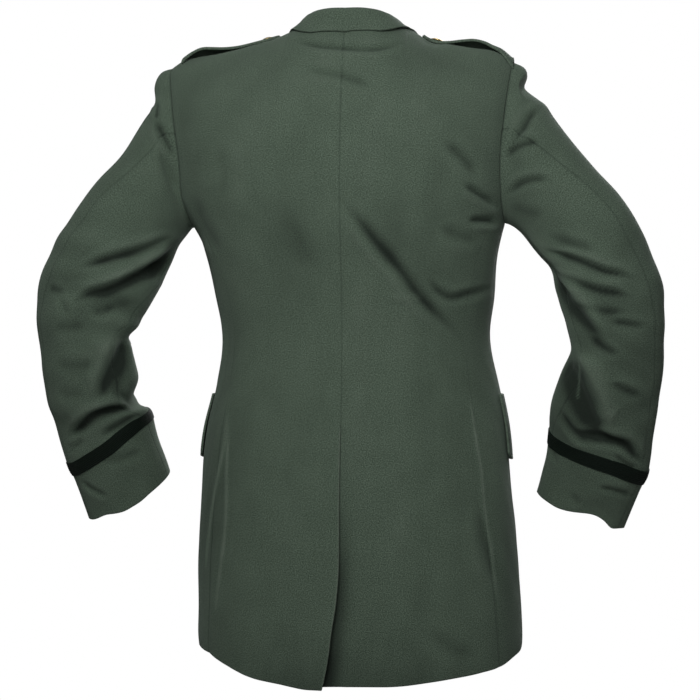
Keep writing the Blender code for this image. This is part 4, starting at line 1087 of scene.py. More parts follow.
def sleeve_forms(side, whole):
    """The top sleeve and the under sleeve, parted at the hind and fore seams."""
    last = len(TURNS) - 1
    spans = {
        "top_sleeve": np.append(np.arange(FORE, last), np.arange(HIND + 1)),
        "under_sleeve": np.arange(HIND, FORE + 1),
    }
    pieces = {}
    for name, columns in spans.items():
        grid, out, pressed = (whole[part][:, columns] for part in ("points", "out", "pressed"))
        edges = np.linalg.norm(grid - grid[:, :1], axis=-1), np.linalg.norm(grid - grid[:, -1:], axis=-1)
        sink = 0.6 * dip(*edges) + dip(np.linalg.norm(grid - grid[:1], axis=-1))
        allowance = tucked(side, grid[:1], whole["points"][0].mean(0))
        grid, out, pressed, sink = (np.concatenate([first, rest]) for first, rest in (
            (allowance, grid), (out[:1], out), (pressed[:1], pressed), (sink[:1], sink)))
        free = (np.arange(len(grid)) == len(grid) - 1)[:, None]
        piece = grid_piece(grid, grid - out, sink, 1.0, free)
        piece["out"], piece["pressed"] = out.reshape(-1, 3), pressed.reshape(-1)
        pieces[f"{name}_{name_of(side)}"] = piece
    return pieces


def on_sleeve(whole, row, lift):
    """A line of points all round a sleeve at a place down its length, on its facets, stood off by lift."""
    row = row + 0 * TURNS
    below = np.clip(np.searchsorted(SLEEVE_ROWS, row) - 1, 0, len(SLEEVE_ROWS) - 2)
    t = ((row - SLEEVE_ROWS[below]) / (SLEEVE_ROWS[below + 1] - SLEEVE_ROWS[below]))[:, None]
    column = np.arange(len(TURNS))
    point = blend(whole["points"][below, column], whole["points"][below + 1, column], t)
    out = unit(blend(whole["out"][below, column], whole["out"][below + 1, column], t))
    return point + out * lift, out


def further_down(whole, ring_number, distance):
    """The rows that lie those distances further down the sleeve than a ring, for each column."""
    points = whole["points"]
    lengths = np.cumsum(np.linalg.norm(np.diff(points, axis=0, prepend=points[:1]), axis=-1), axis=0).T
    return np.array([np.interp(np.interp(ring_number, SLEEVE_ROWS, length) + further, length, SLEEVE_ROWS)
                     for length, further in zip(lengths, distance)])


def collar_form():
    """The collar's fall and the top of its stand, from one gorge round the neck to the other."""
    lines = []
    across = steps(COLLAR_WIDTH)
    for share in steps(COLLAR_HALF, first=False):
        get = {name: float(read(COLLAR, name, "share", share)) for name in COLLAR}
        fold = np.array([get["fold_x"], get["fold_y"], get["fold_z"]])
        edge = np.array([get["edge_x"], get["edge_y"], 0])
        lift = COLLAR_LIFT * (1 - 0.5 * float(ease((share - 0.45) / 0.2)))
        edge[2] = height(edge[0], edge[1]) + lift
        outward = unit((edge - fold) * (1, 1, 0))
        foot = fold + outward * blend(0.0015, -0.0030, ease((share - 0.4) / 0.4))
        foot[2] = fold[2] - blend(0.0210, 0.0020, ease((share - 0.4) / 0.6))
        up = np.array([0, 0, 1.0])
        over = fold + outward * FOLD_RADIUS * 2.2 - up * FOLD_RADIUS * 1.1
        line = [foot, blend(foot, fold, 0.5), fold - outward * FOLD_RADIUS * 0.2 - up * FOLD_RADIUS]
        line += [fold + outward * FOLD_RADIUS * 0.9]
        line += [blend(over, edge, t) for t in (0, 0.45, 0.72, 1.0)]
        line = np.array(line)
        far = np.concatenate([[0], np.cumsum(np.linalg.norm(np.diff(line, axis=0), axis=1))])
        rows = {"far": far / far[-1], "x": line[:, 0], "y": line[:, 1], "z": line[:, 2]}
        fine = np.stack([read(rows, axis, "far", across) for axis in "xyz"], -1)
        fall = across > rows["far"][4]
        floor = height(fine[:, 0], fine[:, 1]) + lift
        fine[:, 2] = np.where(fall, np.maximum(fine[:, 2], floor), fine[:, 2])
        lines.append(fine)
    half = np.array(lines)
    grid = np.concatenate([half[:0:-1] * (-1, 1, 1), half])
    middle = (grid[:, :1] + grid[:, -1:]) / 2 + 0 * grid - (0, 0, 0.01)
    return grid_piece(grid, middle)


def lapel_point(side, t, w):
    """A point of a lapel: t runs down the roll line and w from the roll line to the lapel's outer edge."""
    end = ROLL_END_Z + 0.004 if side > 0 else CROSSING_Z + 0.006
    roll_z = blend(LAPEL_TOP_Z, end, t)
    reach = t if side > 0 else t * 0.87
    x = blend(roll_x(roll_z), read(LAPEL, "x", "t", reach), w)
    z = blend(roll_z, read(LAPEL, "z", "t", reach), w)
    lift = LAPEL_LIFT + 0.0016 * np.exp(-((w / 0.12) ** 2)) * (1 - 0.6 * t)
    y = skin(x, z, -1) - lift - (overlap_lift(x, z) if side > 0 else 0)
    return np.stack([side * x, y, z], -1)


def lapel_form(side):
    t, w = np.meshgrid(steps(LAPEL_LENGTH), steps(LAPEL_WIDTH), indexing="ij")
    grid = lapel_point(side, t, blend(0.005, 1, w))
    return grid_piece(grid, upright_axis(grid))


def on_section(side, angle, z, lift):
    """A point of the torso at an angle from the centre back, moved out square to the section."""
    step = on_body(side, angle + 0.01, z) - on_body(side, angle - 0.01, z)
    out = unit(np.stack([-side * step[..., 1], side * step[..., 0], 0 * z], -1))
    return tugged(on_body(side, angle, z) + out * lift[..., None])


def flap_point(side, t, v):
    """A point of a pocket flap: t runs round the body and v down the flap. Its lower corners are round."""
    corner = np.clip(np.abs(2 * t - 1) * 0.085 - 0.071, 0, 0.014) / 0.014
    round_off = 0.010 * v * (1 - np.sqrt(1 - 0.98 * corner**2))
    z = FLAP_TOP_Z - (FLAP_DEPTH * v * (1 - 0.05 * np.cos(t * math.pi) ** 8) - round_off)
    wave = 0.0012 * np.sin(v * math.pi) * np.sin(t * math.pi * 3 + 0.6) * v
    return on_section(side, blend(*FLAP_TURNS, t), z, blend(*FLAP_LIFT, v) - 0.0006 + wave)


def stitch_dip(distance):
    """How deep a row of stitches at that distance pulls the face in."""
    return 0.5 * SEAM_DIP * np.exp(-((distance / 0.0014) ** 2))


def flap_form(side):
    t, v = np.meshgrid(steps(FLAP_WIDTH), steps(FLAP_DEPTH))
    grid = flap_point(side, t, v)
    edge = np.minimum(np.minimum(t, 1 - t) * FLAP_WIDTH, (1 - v) * FLAP_DEPTH)
    return grid_piece(grid, upright_axis(grid), stitch_dip(edge - FLAP_INSET))


def loop_point(side, share, w, lift=0.0):
    """A point of a shoulder loop: share runs from its neck end to the armhole, w from front to back."""
    x = side * blend(*LOOP_ENDS[name_of(side)], share)
    half = read(LOOP, "half", "share", share)
    half = np.where(share < 0.10, 0.0030 + 0.0160 * np.sqrt(np.clip(share / 0.10, 0, 1)), half)
    y = w * half - 0.004
    stand = read(LOOP, name_of(side), "share", share)
    z = height(x, y) + FLAP_CLOTH + 0.0003 + stand * (0.5 + 0.5 * w)
    return tugged(np.stack([x, y, z + lift], -1))


def loop_form(side):
    share, w = np.meshgrid(steps(LOOP_LENGTH), blend(-1, 1, steps(0.044)), indexing="ij")
    grid = loop_point(side, share, w)
    edge = np.minimum((1 - np.abs(w)) * read(LOOP, "half", "share", share), share * LOOP_LENGTH)
    return grid_piece(grid, grid - (0, 0, 1), stitch_dip(edge - LOOP_INSET))


def finished(piece, move=lambda points, out: 0 * points[:, 0]):
    """One piece on its own, with its normals."""
    return sew({"piece": piece}, move)["piece"]


# --- finishes ---
def node(tree, kind, inputs=None, **settings):
    """A shader or geometry node with its settings, its values, and links from other nodes' outputs."""
    made = tree.nodes.new(kind)
    for name, value in settings.items():
        setattr(made, name, value)
    for name, value in (inputs or {}).items():
        if isinstance(value, bpy.types.NodeSocket):
            tree.links.new(value, made.inputs[name])
        else:
            made.inputs[name].default_value = value
    return made


def math_node(tree, operation, *values):
    return node(tree, "ShaderNodeMath", dict(enumerate(values)), operation=operation).outputs[0]


def mix(tree, share, first, second):
    """Two colours mixed by a share. On a Mix node they are sockets 6 and 7, and the share is socket 0."""
    return node(tree, "ShaderNodeMix", {0: share, 6: first, 7: second}, data_type="RGBA").outputs[2]


def ramp(tree, value, low, high):
    """A value stretched so that low becomes 0 and high becomes 1, held between them."""
    return node(tree, "ShaderNodeMapRange", {"Value": value, "From Min": low, "From Max": high}).outputs[0]


def noise(tree, vector, scale, detail=2.0, roughness=0.5):
    inputs = {"Vector": vector, "Scale": scale, "Detail": detail, "Roughness": roughness}
    return node(tree, "ShaderNodeTexNoise", inputs).outputs["Fac"]


def new_tree(name, kind, inputs, outputs):
    """A node tree with those sockets: each is a name, a kind and, for an input that has one, its default."""
    tree = bpy.data.node_groups.new(name, kind)
    for label, socket_kind, *default in inputs:
        socket = tree.interface.new_socket(name=label, in_out="INPUT", socket_type="NodeSocket" + socket_kind)
        if default:
            socket.default_value = default[0]
    for label, socket_kind in outputs:
        tree.interface.new_socket(name=label, in_out="OUTPUT", socket_type="NodeSocket" + socket_kind)
    return tree, node(tree, "NodeGroupInput"), node(tree, "NodeGroupOutput")


def woven_group():
    """Woven cloth: twill wales, a grain of lighter and darker yarns, and long faint streaks down the warp."""
    if "Woven cloth" in bpy.data.node_groups:
        return bpy.data.node_groups["Woven cloth"]
    inputs = [("Wale", "Float", 0.0011), ("Slope", "Float", 1.0), ("Grain", "Float", 0.5),
              ("Relief", "Float", 0.5)]
    outputs = [("Tone", "Float"), ("Height", "Float")]
    tree, given, result = new_tree("Woven cloth", "ShaderNodeTree", inputs, outputs)
    place = node(tree, "ShaderNodeUVMap", uv_map="cloth").outputs[0]
    parts = node(tree, "ShaderNodeSeparateXYZ", {0: place})
    across, down = parts.outputs[0], parts.outputs[1]
    wander = math_node(tree, "MULTIPLY", noise(tree, place, 90.0, 3.0), 0.0012)
    diagonal = math_node(tree, "MULTIPLY_ADD", down, given.outputs["Slope"], across)
    diagonal = math_node(tree, "ADD", diagonal, wander)
    turns = math_node(tree, "MULTIPLY", diagonal, 2 * math.pi)
    turns = math_node(tree, "DIVIDE", turns, given.outputs["Wale"])
    wale = math_node(tree, "MULTIPLY_ADD", math_node(tree, "SINE", turns), 0.5, 0.5)
    stretch = node(tree, "ShaderNodeMapping", {"Vector": place, "Scale": (1.0, 0.055, 1.0)}).outputs[0]
    cross = node(tree, "ShaderNodeMapping", {"Vector": place, "Scale": (0.12, 1.0, 1.0)}).outputs[0]
    yarn = noise(tree, stretch, 380.0, 2.0)
    weft = noise(tree, cross, 420.0, 2.0)
    fleck = noise(tree, place, 760.0, 2.0, 0.6)
    cloud = noise(tree, place, 26.0, 3.0)
    tone = 0.0
    for part, strength in ((yarn, 0.25), (weft, 0.15), (fleck, 4.2), (cloud, 0.40), (wale, 0.10)):
        tone = math_node(tree, "MULTIPLY_ADD", math_node(tree, "SUBTRACT", part, 0.5), strength, tone)
    tone = math_node(tree, "MULTIPLY_ADD", tone, given.outputs["Grain"], 0.5)
    height_mix = math_node(tree, "MULTIPLY_ADD", wale, 0.45, math_node(tree, "MULTIPLY", fleck, 0.8))
    height_mix = math_node(tree, "MULTIPLY_ADD", yarn, 0.5, height_mix)
    tree.links.new(node(tree, "ShaderNodeClamp", {"Value": tone}).outputs[0], result.inputs["Tone"])
    tree.links.new(math_node(tree, "MULTIPLY", height_mix, given.outputs["Relief"]), result.inputs["Height"])
    return tree


def wear_and_painted_light_group():
    """Wear and painted light: raised cloth and free edges are lighter, as rubbed wear and painted highlight;
    cloth in a fold or seam gets painted shade.
    """
    if "Cloth wear" in bpy.data.node_groups:
        return bpy.data.node_groups["Cloth wear"]
    inputs = [("Color", "Color", (0.1, 0.1, 0.1, 1)), ("Rubbed", "Float", 0.2), ("Shaded", "Float", 0.4)]
    tree, given, result = new_tree("Cloth wear", "ShaderNodeTree", inputs, [("Color", "Color")])
    wear_and_painted_light = node(tree, "ShaderNodeAttribute", attribute_name="wear_and_painted_light").outputs["Fac"]
    place = node(tree, "ShaderNodeTexCoord").outputs["Object"]
    patch = ramp(tree, noise(tree, place, 60.0, 3.0), 0.3, 0.7)
    patchy = math_node(tree, "MULTIPLY_ADD", patch, 0.6, 0.4)
    up = math_node(tree, "MULTIPLY", ramp(tree, wear_and_painted_light, 0.0, 1.0), patchy)
    up = math_node(tree, "MULTIPLY", up, given.outputs["Rubbed"])
    down = math_node(tree, "MULTIPLY", ramp(tree, wear_and_painted_light, 0.0, -1.0), given.outputs["Shaded"])
    # The lighter colour stands for rubbed wear and for painted highlights.
    lighter = mix(tree, up, given.outputs["Color"], (0.30, 0.34, 0.29, 1))
    # The near-black colour is painted shade, in folds, seams and the listed shades.
    darker = mix(tree, down, lighter, (0.004, 0.007, 0.005, 1))
    tree.links.new(darker, result.inputs["Color"])
    return tree


def new_material(name):
    made = bpy.data.materials.new(name)
    made.use_nodes = True
    return made, made.node_tree, made.node_tree.nodes["Principled BSDF"]


def group_node(tree, group, **values):
    """A node group placed in a material, with that material's own values."""
    made = node(tree, "ShaderNodeGroup", node_tree=group)
    for name, value in values.items():
        made.inputs[name].default_value = value
    return made


def colour4(colour):
    return (*colour, 1.0)


def woven_material(name, dark, light, wale, slope, grain, relief, rough, sheen, rubbed_and_highlight, shade, gloss=0.18):
    """A woven cloth whose yarns run between two colours."""
    made, tree, shader = new_material(name)
    weave = group_node(tree, woven_group(), Wale=wale, Slope=slope, Grain=grain, Relief=relief)
    # Painted shade, painted highlights and rubbed wear, read from each point's stored value.
    wear_and_painted_light = group_node(tree, wear_and_painted_light_group(), Rubbed=rubbed_and_highlight, Shaded=shade)
    tree.links.new(mix(tree, weave.outputs["Tone"], colour4(dark), colour4(light)), wear_and_painted_light.inputs["Color"])
    tree.links.new(wear_and_painted_light.outputs["Color"], shader.inputs["Base Color"])
    raised = {"Height": weave.outputs["Height"], "Strength": 0.55, "Distance": 0.0004}
    tree.links.new(node(tree, "ShaderNodeBump", raised).outputs[0], shader.inputs["Normal"])
    plain = {"Roughness": rough, "Specular IOR Level": gloss, "Sheen Weight": sheen, "Sheen Roughness": 0.55,
             "Sheen Tint": (0.75, 0.95, 0.80, 1)}
    for socket, value in plain.items():
        shader.inputs[socket].default_value = value
    return made


def metal_material(name, colour):
    """Gilt brass: bright where it is rubbed and duller in patches, with a fine grain from polishing."""
    made, tree, shader = new_material(name)
    place = node(tree, "ShaderNodeTexCoord").outputs["Object"]
    patch = ramp(tree, noise(tree, place, 240.0, 4.0), 0.35, 0.7)
    fine = noise(tree, place, 2600.0, 3.0)
    dull = tuple(0.55 * c for c in colour)
    tree.links.new(mix(tree, patch, colour4(colour), colour4(dull)), shader.inputs["Base Color"])
    rough = math_node(tree, "MULTIPLY_ADD", patch, 0.18, math_node(tree, "MULTIPLY_ADD", fine, 0.14, 0.16))
    tree.links.new(rough, shader.inputs["Roughness"])
    bump = node(tree, "ShaderNodeBump", {"Height": fine, "Strength": 0.12, "Distance": 0.0001})
    tree.links.new(bump.outputs[0], shader.inputs["Normal"])
    shader.inputs["Metallic"].default_value = 1.0
    return made


def finish(name):
    """The finish of that name, made the first time that a piece asks for it."""
    if name in bpy.data.materials and bpy.data.materials[name].get("tunic"):
        return bpy.data.materials[name]
    cloth, trim = bpy.context.scene.tunic_cloth, bpy.context.scene.tunic_trim
    braid_dark = tuple(0.5 * c for c in trim.braid_colour)
    thread_dark = tuple(0.6 * c for c in trim.thread_colour)
    # In each, the lightening stands for rubbed wear and painted highlights, and shade sets how dark the
    # painted shade is.
    woven = {
        "tunic_serge": dict(
            dark=cloth.serge_dark, light=cloth.serge_light, wale=cloth.wale, slope=1.0, grain=0.62,
            relief=1.0, rough=0.92, sheen=0.10, rubbed_and_highlight=0.18, shade=0.90),
        "tunic_lining": dict(
            dark=cloth.lining_dark, light=cloth.lining_light, wale=0.0006, slope=0.4, grain=0.3, relief=0.3,
            rough=0.5, sheen=0.1, rubbed_and_highlight=0.0, shade=0.2),
        "tunic_braid": dict(
            dark=braid_dark, light=trim.braid_colour, wale=0.0009, slope=3.0, grain=0.5, relief=0.8,
            rough=0.70, sheen=0.02, rubbed_and_highlight=0.02, shade=0.3, gloss=0.09),
        "tunic_thread": dict(
            dark=thread_dark, light=trim.thread_colour, wale=0.0003, slope=1.0, grain=0.4, relief=0.5,
            rough=0.7, sheen=0.1, rubbed_and_highlight=0.0, shade=0.0),
    }
    if name in woven:
        made = woven_material(name, **woven[name])
    elif name == "tunic_brass":
        made = metal_material(name, trim.brass_colour)
    else:
        raise ValueError(f"no finish is named {name}")
    made["tunic"] = True
    return made


def coat_finishes():
    """The finishes of a panel's outer and inner face."""
    return finish("tunic_serge"), finish("tunic_lining")


# --- what repeats: cords and stitches ---
def geometry_tree(name, inputs):
    """A geometry node tree with those inputs beside its geometry, and a material."""
    shape = ("Geometry", "Geometry")
    return new_tree(name, "GeometryNodeTree", [shape, *inputs, ("Material", "Material")], [shape])


def end_tree(tree, given, result, geometry):
    """Ends a tree in plain, smooth geometry with its finish."""
    real = node(tree, "GeometryNodeRealizeInstances", {"Geometry": geometry}).outputs[0]
    smooth = node(tree, "GeometryNodeSetShadeSmooth", {"Geometry": real}).outputs[0]
    done = node(tree, "GeometryNodeSetMaterial", {"Geometry": smooth, "Material": given.outputs["Material"]})
    tree.links.new(done.outputs[0], result.inputs["Geometry"])
    return tree


def resampled(tree, given, spacing):
    curve = node(tree, "GeometryNodeMeshToCurve", {"Mesh": given.outputs["Geometry"]}).outputs[0]
    inputs = {"Curve": curve, "Length": spacing}
    return node(tree, "GeometryNodeResampleCurve", inputs, mode="LENGTH").outputs[0]


def cord_tree():
    """Cords that follow lines: a round tube of a given radius along each one."""
    if "Cords along lines" in bpy.data.node_groups:
        return bpy.data.node_groups["Cords along lines"]
    inputs = [("Radius", "Float", 0.001), ("Spacing", "Float", 0.002), ("Sides", "Int", 8)]
    tree, given, result = geometry_tree("Cords along lines", inputs)
    curve = resampled(tree, given, given.outputs["Spacing"])
    ring_inputs = {"Resolution": given.outputs["Sides"], "Radius": given.outputs["Radius"]}
    profile = node(tree, "GeometryNodeCurvePrimitiveCircle", ring_inputs).outputs[0]
    tube_inputs = {"Curve": curve, "Profile Curve": profile, "Fill Caps": True}
    tube = node(tree, "GeometryNodeCurveToMesh", tube_inputs).outputs[0]
    return end_tree(tree, given, result, tube)


def stitch_tree():
    """Stitches that follow lines: one short rounded stitch at each step, lying flat on the cloth."""
    if "Stitches along lines" in bpy.data.node_groups:
        return bpy.data.node_groups["Stitches along lines"]
    inputs = [("Pitch", "Float", 0.0026), ("Length", "Float", 0.002), ("Width", "Float", 0.0005),
              ("Turn", "Float", 0.0)]
    tree, given, result = geometry_tree("Stitches along lines", inputs)
    curve = resampled(tree, given, given.outputs["Pitch"])
    bead = node(tree, "GeometryNodeMeshUVSphere", {"Segments": 6, "Rings": 4, "Radius": 0.5}).outputs[0]
    size = node(tree, "ShaderNodeCombineXYZ", {"X": given.outputs["Length"], "Y": given.outputs["Width"],
                                               "Z": given.outputs["Width"]}).outputs[0]
    spin = node(tree, "ShaderNodeCombineXYZ", {"Z": given.outputs["Turn"]}).outputs[0]
    stitch = node(tree, "GeometryNodeTransform", {"Geometry": bead, "Scale": size}).outputs[0]
    stitch = node(tree, "GeometryNodeTransform", {"Geometry": stitch, "Rotation": spin}).outputs[0]
    tangent = node(tree, "GeometryNodeInputTangent").outputs[0]
    out = node(tree, "GeometryNodeInputNamedAttribute", {"Name": "out"}, data_type="FLOAT_VECTOR").outputs[0]
    facing = node(tree, "FunctionNodeAlignRotationToVector", {"Vector": out}, axis="Z").outputs[0]
    facing = node(tree, "FunctionNodeAlignRotationToVector", {"Rotation": facing, "Vector": tangent},
                  axis="X", pivot_axis="Z").outputs[0]
    inputs = {"Points": curve, "Instance": stitch, "Rotation": facing}
    return end_tree(tree, given, result, node(tree, "GeometryNodeInstanceOnPoints", inputs).outputs[0])


def along_lines(name, tree, lines, closed, values):
    """Runs a tree along lines, each given as its points and normals, and keeps the result as a plain mesh."""
    points, normals, edges = [], [], []
    for line, out in lines:
        start, count = len(points), len(line)
        points += line.tolist()
        normals += out.tolist()
        edges += [(start + i, start + i + 1) for i in range(count - 1)]
        edges += [(start + count - 1, start)] * closed
    mesh = bpy.data.meshes.new(name + "_lines")
    mesh.from_pydata(points, edges, [])
    mesh.attributes.new("out", "FLOAT_VECTOR", "POINT").data.foreach_set("vector", np.ravel(normals))
    obj = place_object(name, mesh)
    modifier = obj.modifiers.new("shape", "NODES")
    modifier.node_group = tree
    for item in tree.interface.items_tree:
        if item.in_out == "INPUT" and item.name in values:
            modifier[item.identifier] = values[item.name]
    bpy.context.view_layer.update()
    graph = bpy.context.evaluated_depsgraph_get()
    made = bpy.data.meshes.new_from_object(obj.evaluated_get(graph), depsgraph=graph)
    obj.modifiers.remove(modifier)
    obj.data = made
    made.name = name
    bpy.data.meshes.remove(mesh)
    if not made.polygons:
        raise RuntimeError(f"{name} came out empty")
    if "cloth" not in made.uv_layers:
        flat = np.empty(len(made.vertices) * 3, np.float32)
        made.vertices.foreach_get("co", flat)
        lay_flat(made, flat.reshape(-1, 3)[:, [0, 2]])
    return obj


def surface_line(place, first, second, lift):
    """A line and its normals on the surface that place gives for two coordinates, stood off by lift."""
    here = place(first, second)
    small = 1e-3
    out = unit(np.cross(place(first + small, second) - here, place(first, second + small) - here))
    return here + out * lift, out


# --- metal ---
BUTTON_PROFILE = [(0.40, 0.0), (0.55, 0.02), (0.90, 0.06), (0.985, 0.10), (1.0, 0.14), (0.99, 0.18),
                  (0.94, 0.205), (0.90, 0.20), (0.875, 0.215), (0.84, 0.25), (0.76, 0.295), (0.64, 0.345),
                  (0.50, 0.382), (0.34, 0.405), (0.17, 0.417)]


def turned_mesh(profile, radius, sides, top):
    """A turned shape, closed at both ends: profile gives its radius and height as shares of radius."""
    mesh = bmesh.new()
    rings = []
    turns = [2 * math.pi * i / sides for i in range(sides)]
    for r, h in profile:
        circle = [(radius * r * math.cos(a), radius * r * math.sin(a), radius * h) for a in turns]
        rings.append([mesh.verts.new(point) for point in circle])
    for low, high in zip(rings, rings[1:]):
        for i in range(sides):
            j = (i + 1) % sides
            mesh.faces.new((low[i], low[j], high[j], high[i]))
    for circle, level in ((rings[0][::-1], profile[0][1] * radius), (rings[-1], top * radius)):
        middle = mesh.verts.new((0, 0, level))
        for i in range(sides):
            mesh.faces.new((circle[i], circle[(i + 1) % sides], middle))
    return mesh


def button(name, centre, out, radius):
    mesh = turned_mesh(BUTTON_PROFILE, radius, 56, DOME)
    turn = Vector((0, 0, 1)).rotation_difference(Vector(out)).to_matrix().to_4x4()
    mesh.transform(Matrix.Translation(centre) @ turn)
    data = bpy.data.meshes.new(name)
    mesh.to_mesh(data)
    mesh.free()
    data.materials.append(finish("tunic_brass"))
    data.shade_smooth()
    return place_object(name, data)


def settle(obj, node_name):
    """Hides the CAD node that a finished piece stands for, and makes the piece move with the body."""
    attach(obj, "root")
    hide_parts(node_name)
    return obj


def settle_detail(obj):
    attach(obj, "root")
    return obj


def stitched(obj, kind, side, line, out):
    """Settles a piece, and makes the stitches that follow one line on it."""
    name = f"{kind}_{name_of(side)}"
    values = thread_settings()
    stitches = along_lines(name + "_stitches", stitch_tree(), [(line, out)], False, values)
    settle_detail(stitches)
    settle(obj, name)


def thread_settings(**changes):
    trim = bpy.context.scene.tunic_trim
    values = {"Pitch": trim.stitch_pitch, "Length": trim.stitch_length, "Width": trim.stitch_width,
              "Turn": 0.0, "Material": finish("tunic_thread")}
    return {**values, **changes}


# --- settings ---
def size_setting(name, text, default, low=0.0, high=1.0):
    return FloatProperty(name=name, description=text, default=default, min=low, max=high, unit="LENGTH",
                         subtype="DISTANCE", precision=4)


def colour_setting(name, text, default):
    return FloatVectorProperty(name=name, description=text, default=default, size=3, min=0, max=1,
                               subtype="COLOR")


def power_setting(name, text, default):
    return FloatProperty(name=name, description=text, default=default, min=0, unit="POWER")


class TunicCloth(PropertyGroup):
    """The cloth that the coat is cut from."""
    serge_dark: colour_setting("Serge, dark yarn", "Darker yarn of the coat's cloth", (0.022, 0.0345, 0.0235))
    serge_light: colour_setting("Serge, light yarn", "Lighter yarn of the coat's cloth", (0.1, 0.138, 0.101))
    lining_dark: colour_setting("Lining, dark", "Darker yarn of the lining", (0.010, 0.014, 0.012))
    lining_light: colour_setting("Lining, light", "Lighter yarn of the lining", (0.030, 0.038, 0.032))
    wale: size_setting("Twill wale", "Distance between two wales of the twill", 0.0011, 0.0002, 0.01)
    thickness: size_setting("Cloth", "Thickness of one layer of the coat's cloth", CLOTH, 0.0005, 0.004)


class TunicTrim(PropertyGroup):
    """Braid, metal and thread."""
    braid_colour: colour_setting("Braid", "Colour of the cuff braid", (0.0046, 0.0098, 0.0064))
    braid_cords: IntProperty(name="Braid cords", description="Cords side by side in it", default=8, min=2)
    brass_colour: colour_setting("Gilt brass", "Colour of the buttons", (0.78, 0.57, 0.22))
    thread_colour: colour_setting("Thread", "Colour of the sewing thread", (0.050, 0.068, 0.055))
    stitch_pitch: size_setting("Stitch pitch", "From one stitch to the next", 0.0028, 0.001, 0.01)
    stitch_length: size_setting("Stitch length", "Length of one stitch", 0.0023, 0.0005, 0.01)
    stitch_width: size_setting("Stitch width", "Thickness of the thread", 0.00045, 0.0001, 0.002)


class TunicStage(PropertyGroup):
    """The floor, the light and the camera."""
    floor_colour: colour_setting("Floor", "Colour of the pale floor", (0.90, 0.90, 0.89))
    floor_drop: size_setting("Floor below the hem", "How far the floor lies below the hem", 1.30, 0.0, 5.0)
    surround: FloatProperty(name="Surround", description="Strength of the light all round", default=0.05,
                            min=0)
    key_power: power_setting("Key light", "Power of the main soft light", 22.5)
    fill_power: power_setting("Fill light", "Power of the second light, and of the one from above", 6.2)
    azimuth: FloatProperty(name="Camera direction", description="Turn of the camera, from the coat's front",
                           default=math.radians(187), subtype="ANGLE", unit="ROTATION")
    distance: size_setting("Camera distance", "From the camera to the middle of the coat", 2.2, 0.5, 10)
    aim_height: FloatProperty(name="Camera height", description="Height that the camera stands and aims at",
                              default=-0.383, unit="LENGTH", subtype="DISTANCE")
    lens: FloatProperty(name="Lens", description="Focal length of the camera, in millimetres", default=93.9,
                        min=10, subtype="DISTANCE_CAMERA", unit="CAMERA")


# --- operators ---
class TUNIC_OT_torso(Operator):
    """Make the two backs, the two side panels and the two fronts, sewn together along their seams"""
    bl_idname = "tunic.torso"
    bl_label = "Torso"

    def execute(self, context):
        cloth = context.scene.tunic_cloth
        forms = {"back": back_form, "side": side_form, "front": front_form}
        pieces = {(kind, side): form(side) for side in (1, -1) for kind, form in forms.items()}
        for (kind, side), piece in sew(pieces, torso_move, tugged).items():
            name = f"{kind}_{name_of(side)}"
            obj = shell(name + "_cloth", piece, cloth.thickness, *coat_finishes())
            settle(obj, name)
        return {"FINISHED"}


class TUNIC_OT_sleeves(Operator):
    """Make the top sleeve and under sleeve of both arms, with the braid round each cuff"""
    bl_idname = "tunic.sleeves"
    bl_label = "Sleeves and cuff braid"

    def execute(self, context):
        cloth = context.scene.tunic_cloth
        for side in (1, -1):
            whole = whole_sleeve(side)
            for name, piece in sleeve_forms(side, whole).items():
                obj = shell(name + "_cloth", piece, cloth.thickness, *coat_finishes())
                settle(obj, name)
            self.add_braid(side, whole, context.scene.tunic_trim.braid_cords)
        return {"FINISHED"}

    def add_braid(self, side, whole, count):
        """The woven ground of the braid, closed round the cuff, and its cords side by side along it."""
        name = f"braid_{name_of(side)}"
        base = on_sleeve(whole, BRAID_RING, 0.0)[0]
        rise = read(BRAID_RISE[name_of(side)], "rise", "x", np.abs(base[:, 0]))
        width = [further_down(whole, BRAID_RING, BRAID_WIDTH * share - rise)
                 for share in np.linspace(0, 1, count + 1)]
        rows = [on_sleeve(whole, row, 0.0004) for row in width]
        grid = np.stack([row[0] for row in rows])
        ground = joined(grid_piece(grid, grid - np.stack([row[1] for row in rows])))
        ground = shell(name + "_cloth", finished(ground), BRAID_CLOTH * 0.7, finish("tunic_braid"))
        pitch = float(np.linalg.norm(grid[0] - grid[-1], axis=-1).mean()) / count
        middles = [(low + high) / 2 for low, high in zip(width, width[1:])]
        lines = [tuple(part[:-1] for part in on_sleeve(whole, row, -0.0001)) for row in middles]
        values = {"Radius": pitch * 0.50, "Spacing": 0.0025, "Sides": 8, "Material": finish("tunic_braid")}
        cords = along_lines(name + "_cords", cord_tree(), lines, True, values)
        settle_detail(cords)
        settle(ground, name)


class TUNIC_OT_collar(Operator):
    """Make the collar and the two lapels"""
    bl_idname = "tunic.collar"
    bl_label = "Collar and lapels"

    def execute(self, context):
        cloth = context.scene.tunic_cloth
        piece = finished(collar_form(), lambda points, out: rumple(points, 31, 0.08, 0.05, 0.0004))
        obj = shell("collar_cloth", piece, cloth.thickness, finish("tunic_serge"))
        settle(obj, "collar")
        for side in (1, -1):
            name = f"lapel_{name_of(side)}"
            form = finished(lapel_form(side), lambda points, out: rumple(points, 33, 0.09, 0.12, 0.0005))
            obj = shell(name + "_cloth", form, cloth.thickness, finish("tunic_serge"))
            along = steps(LAPEL_LENGTH)[2:-4]
            line, out = surface_line(lambda t, w: lapel_point(side, t, w), along, 0 * along + 0.93, 0.0002)
            stitched(obj, "lapel", side, line, out * np.sign(-out[:, 1:2]))
        return {"FINISHED"}


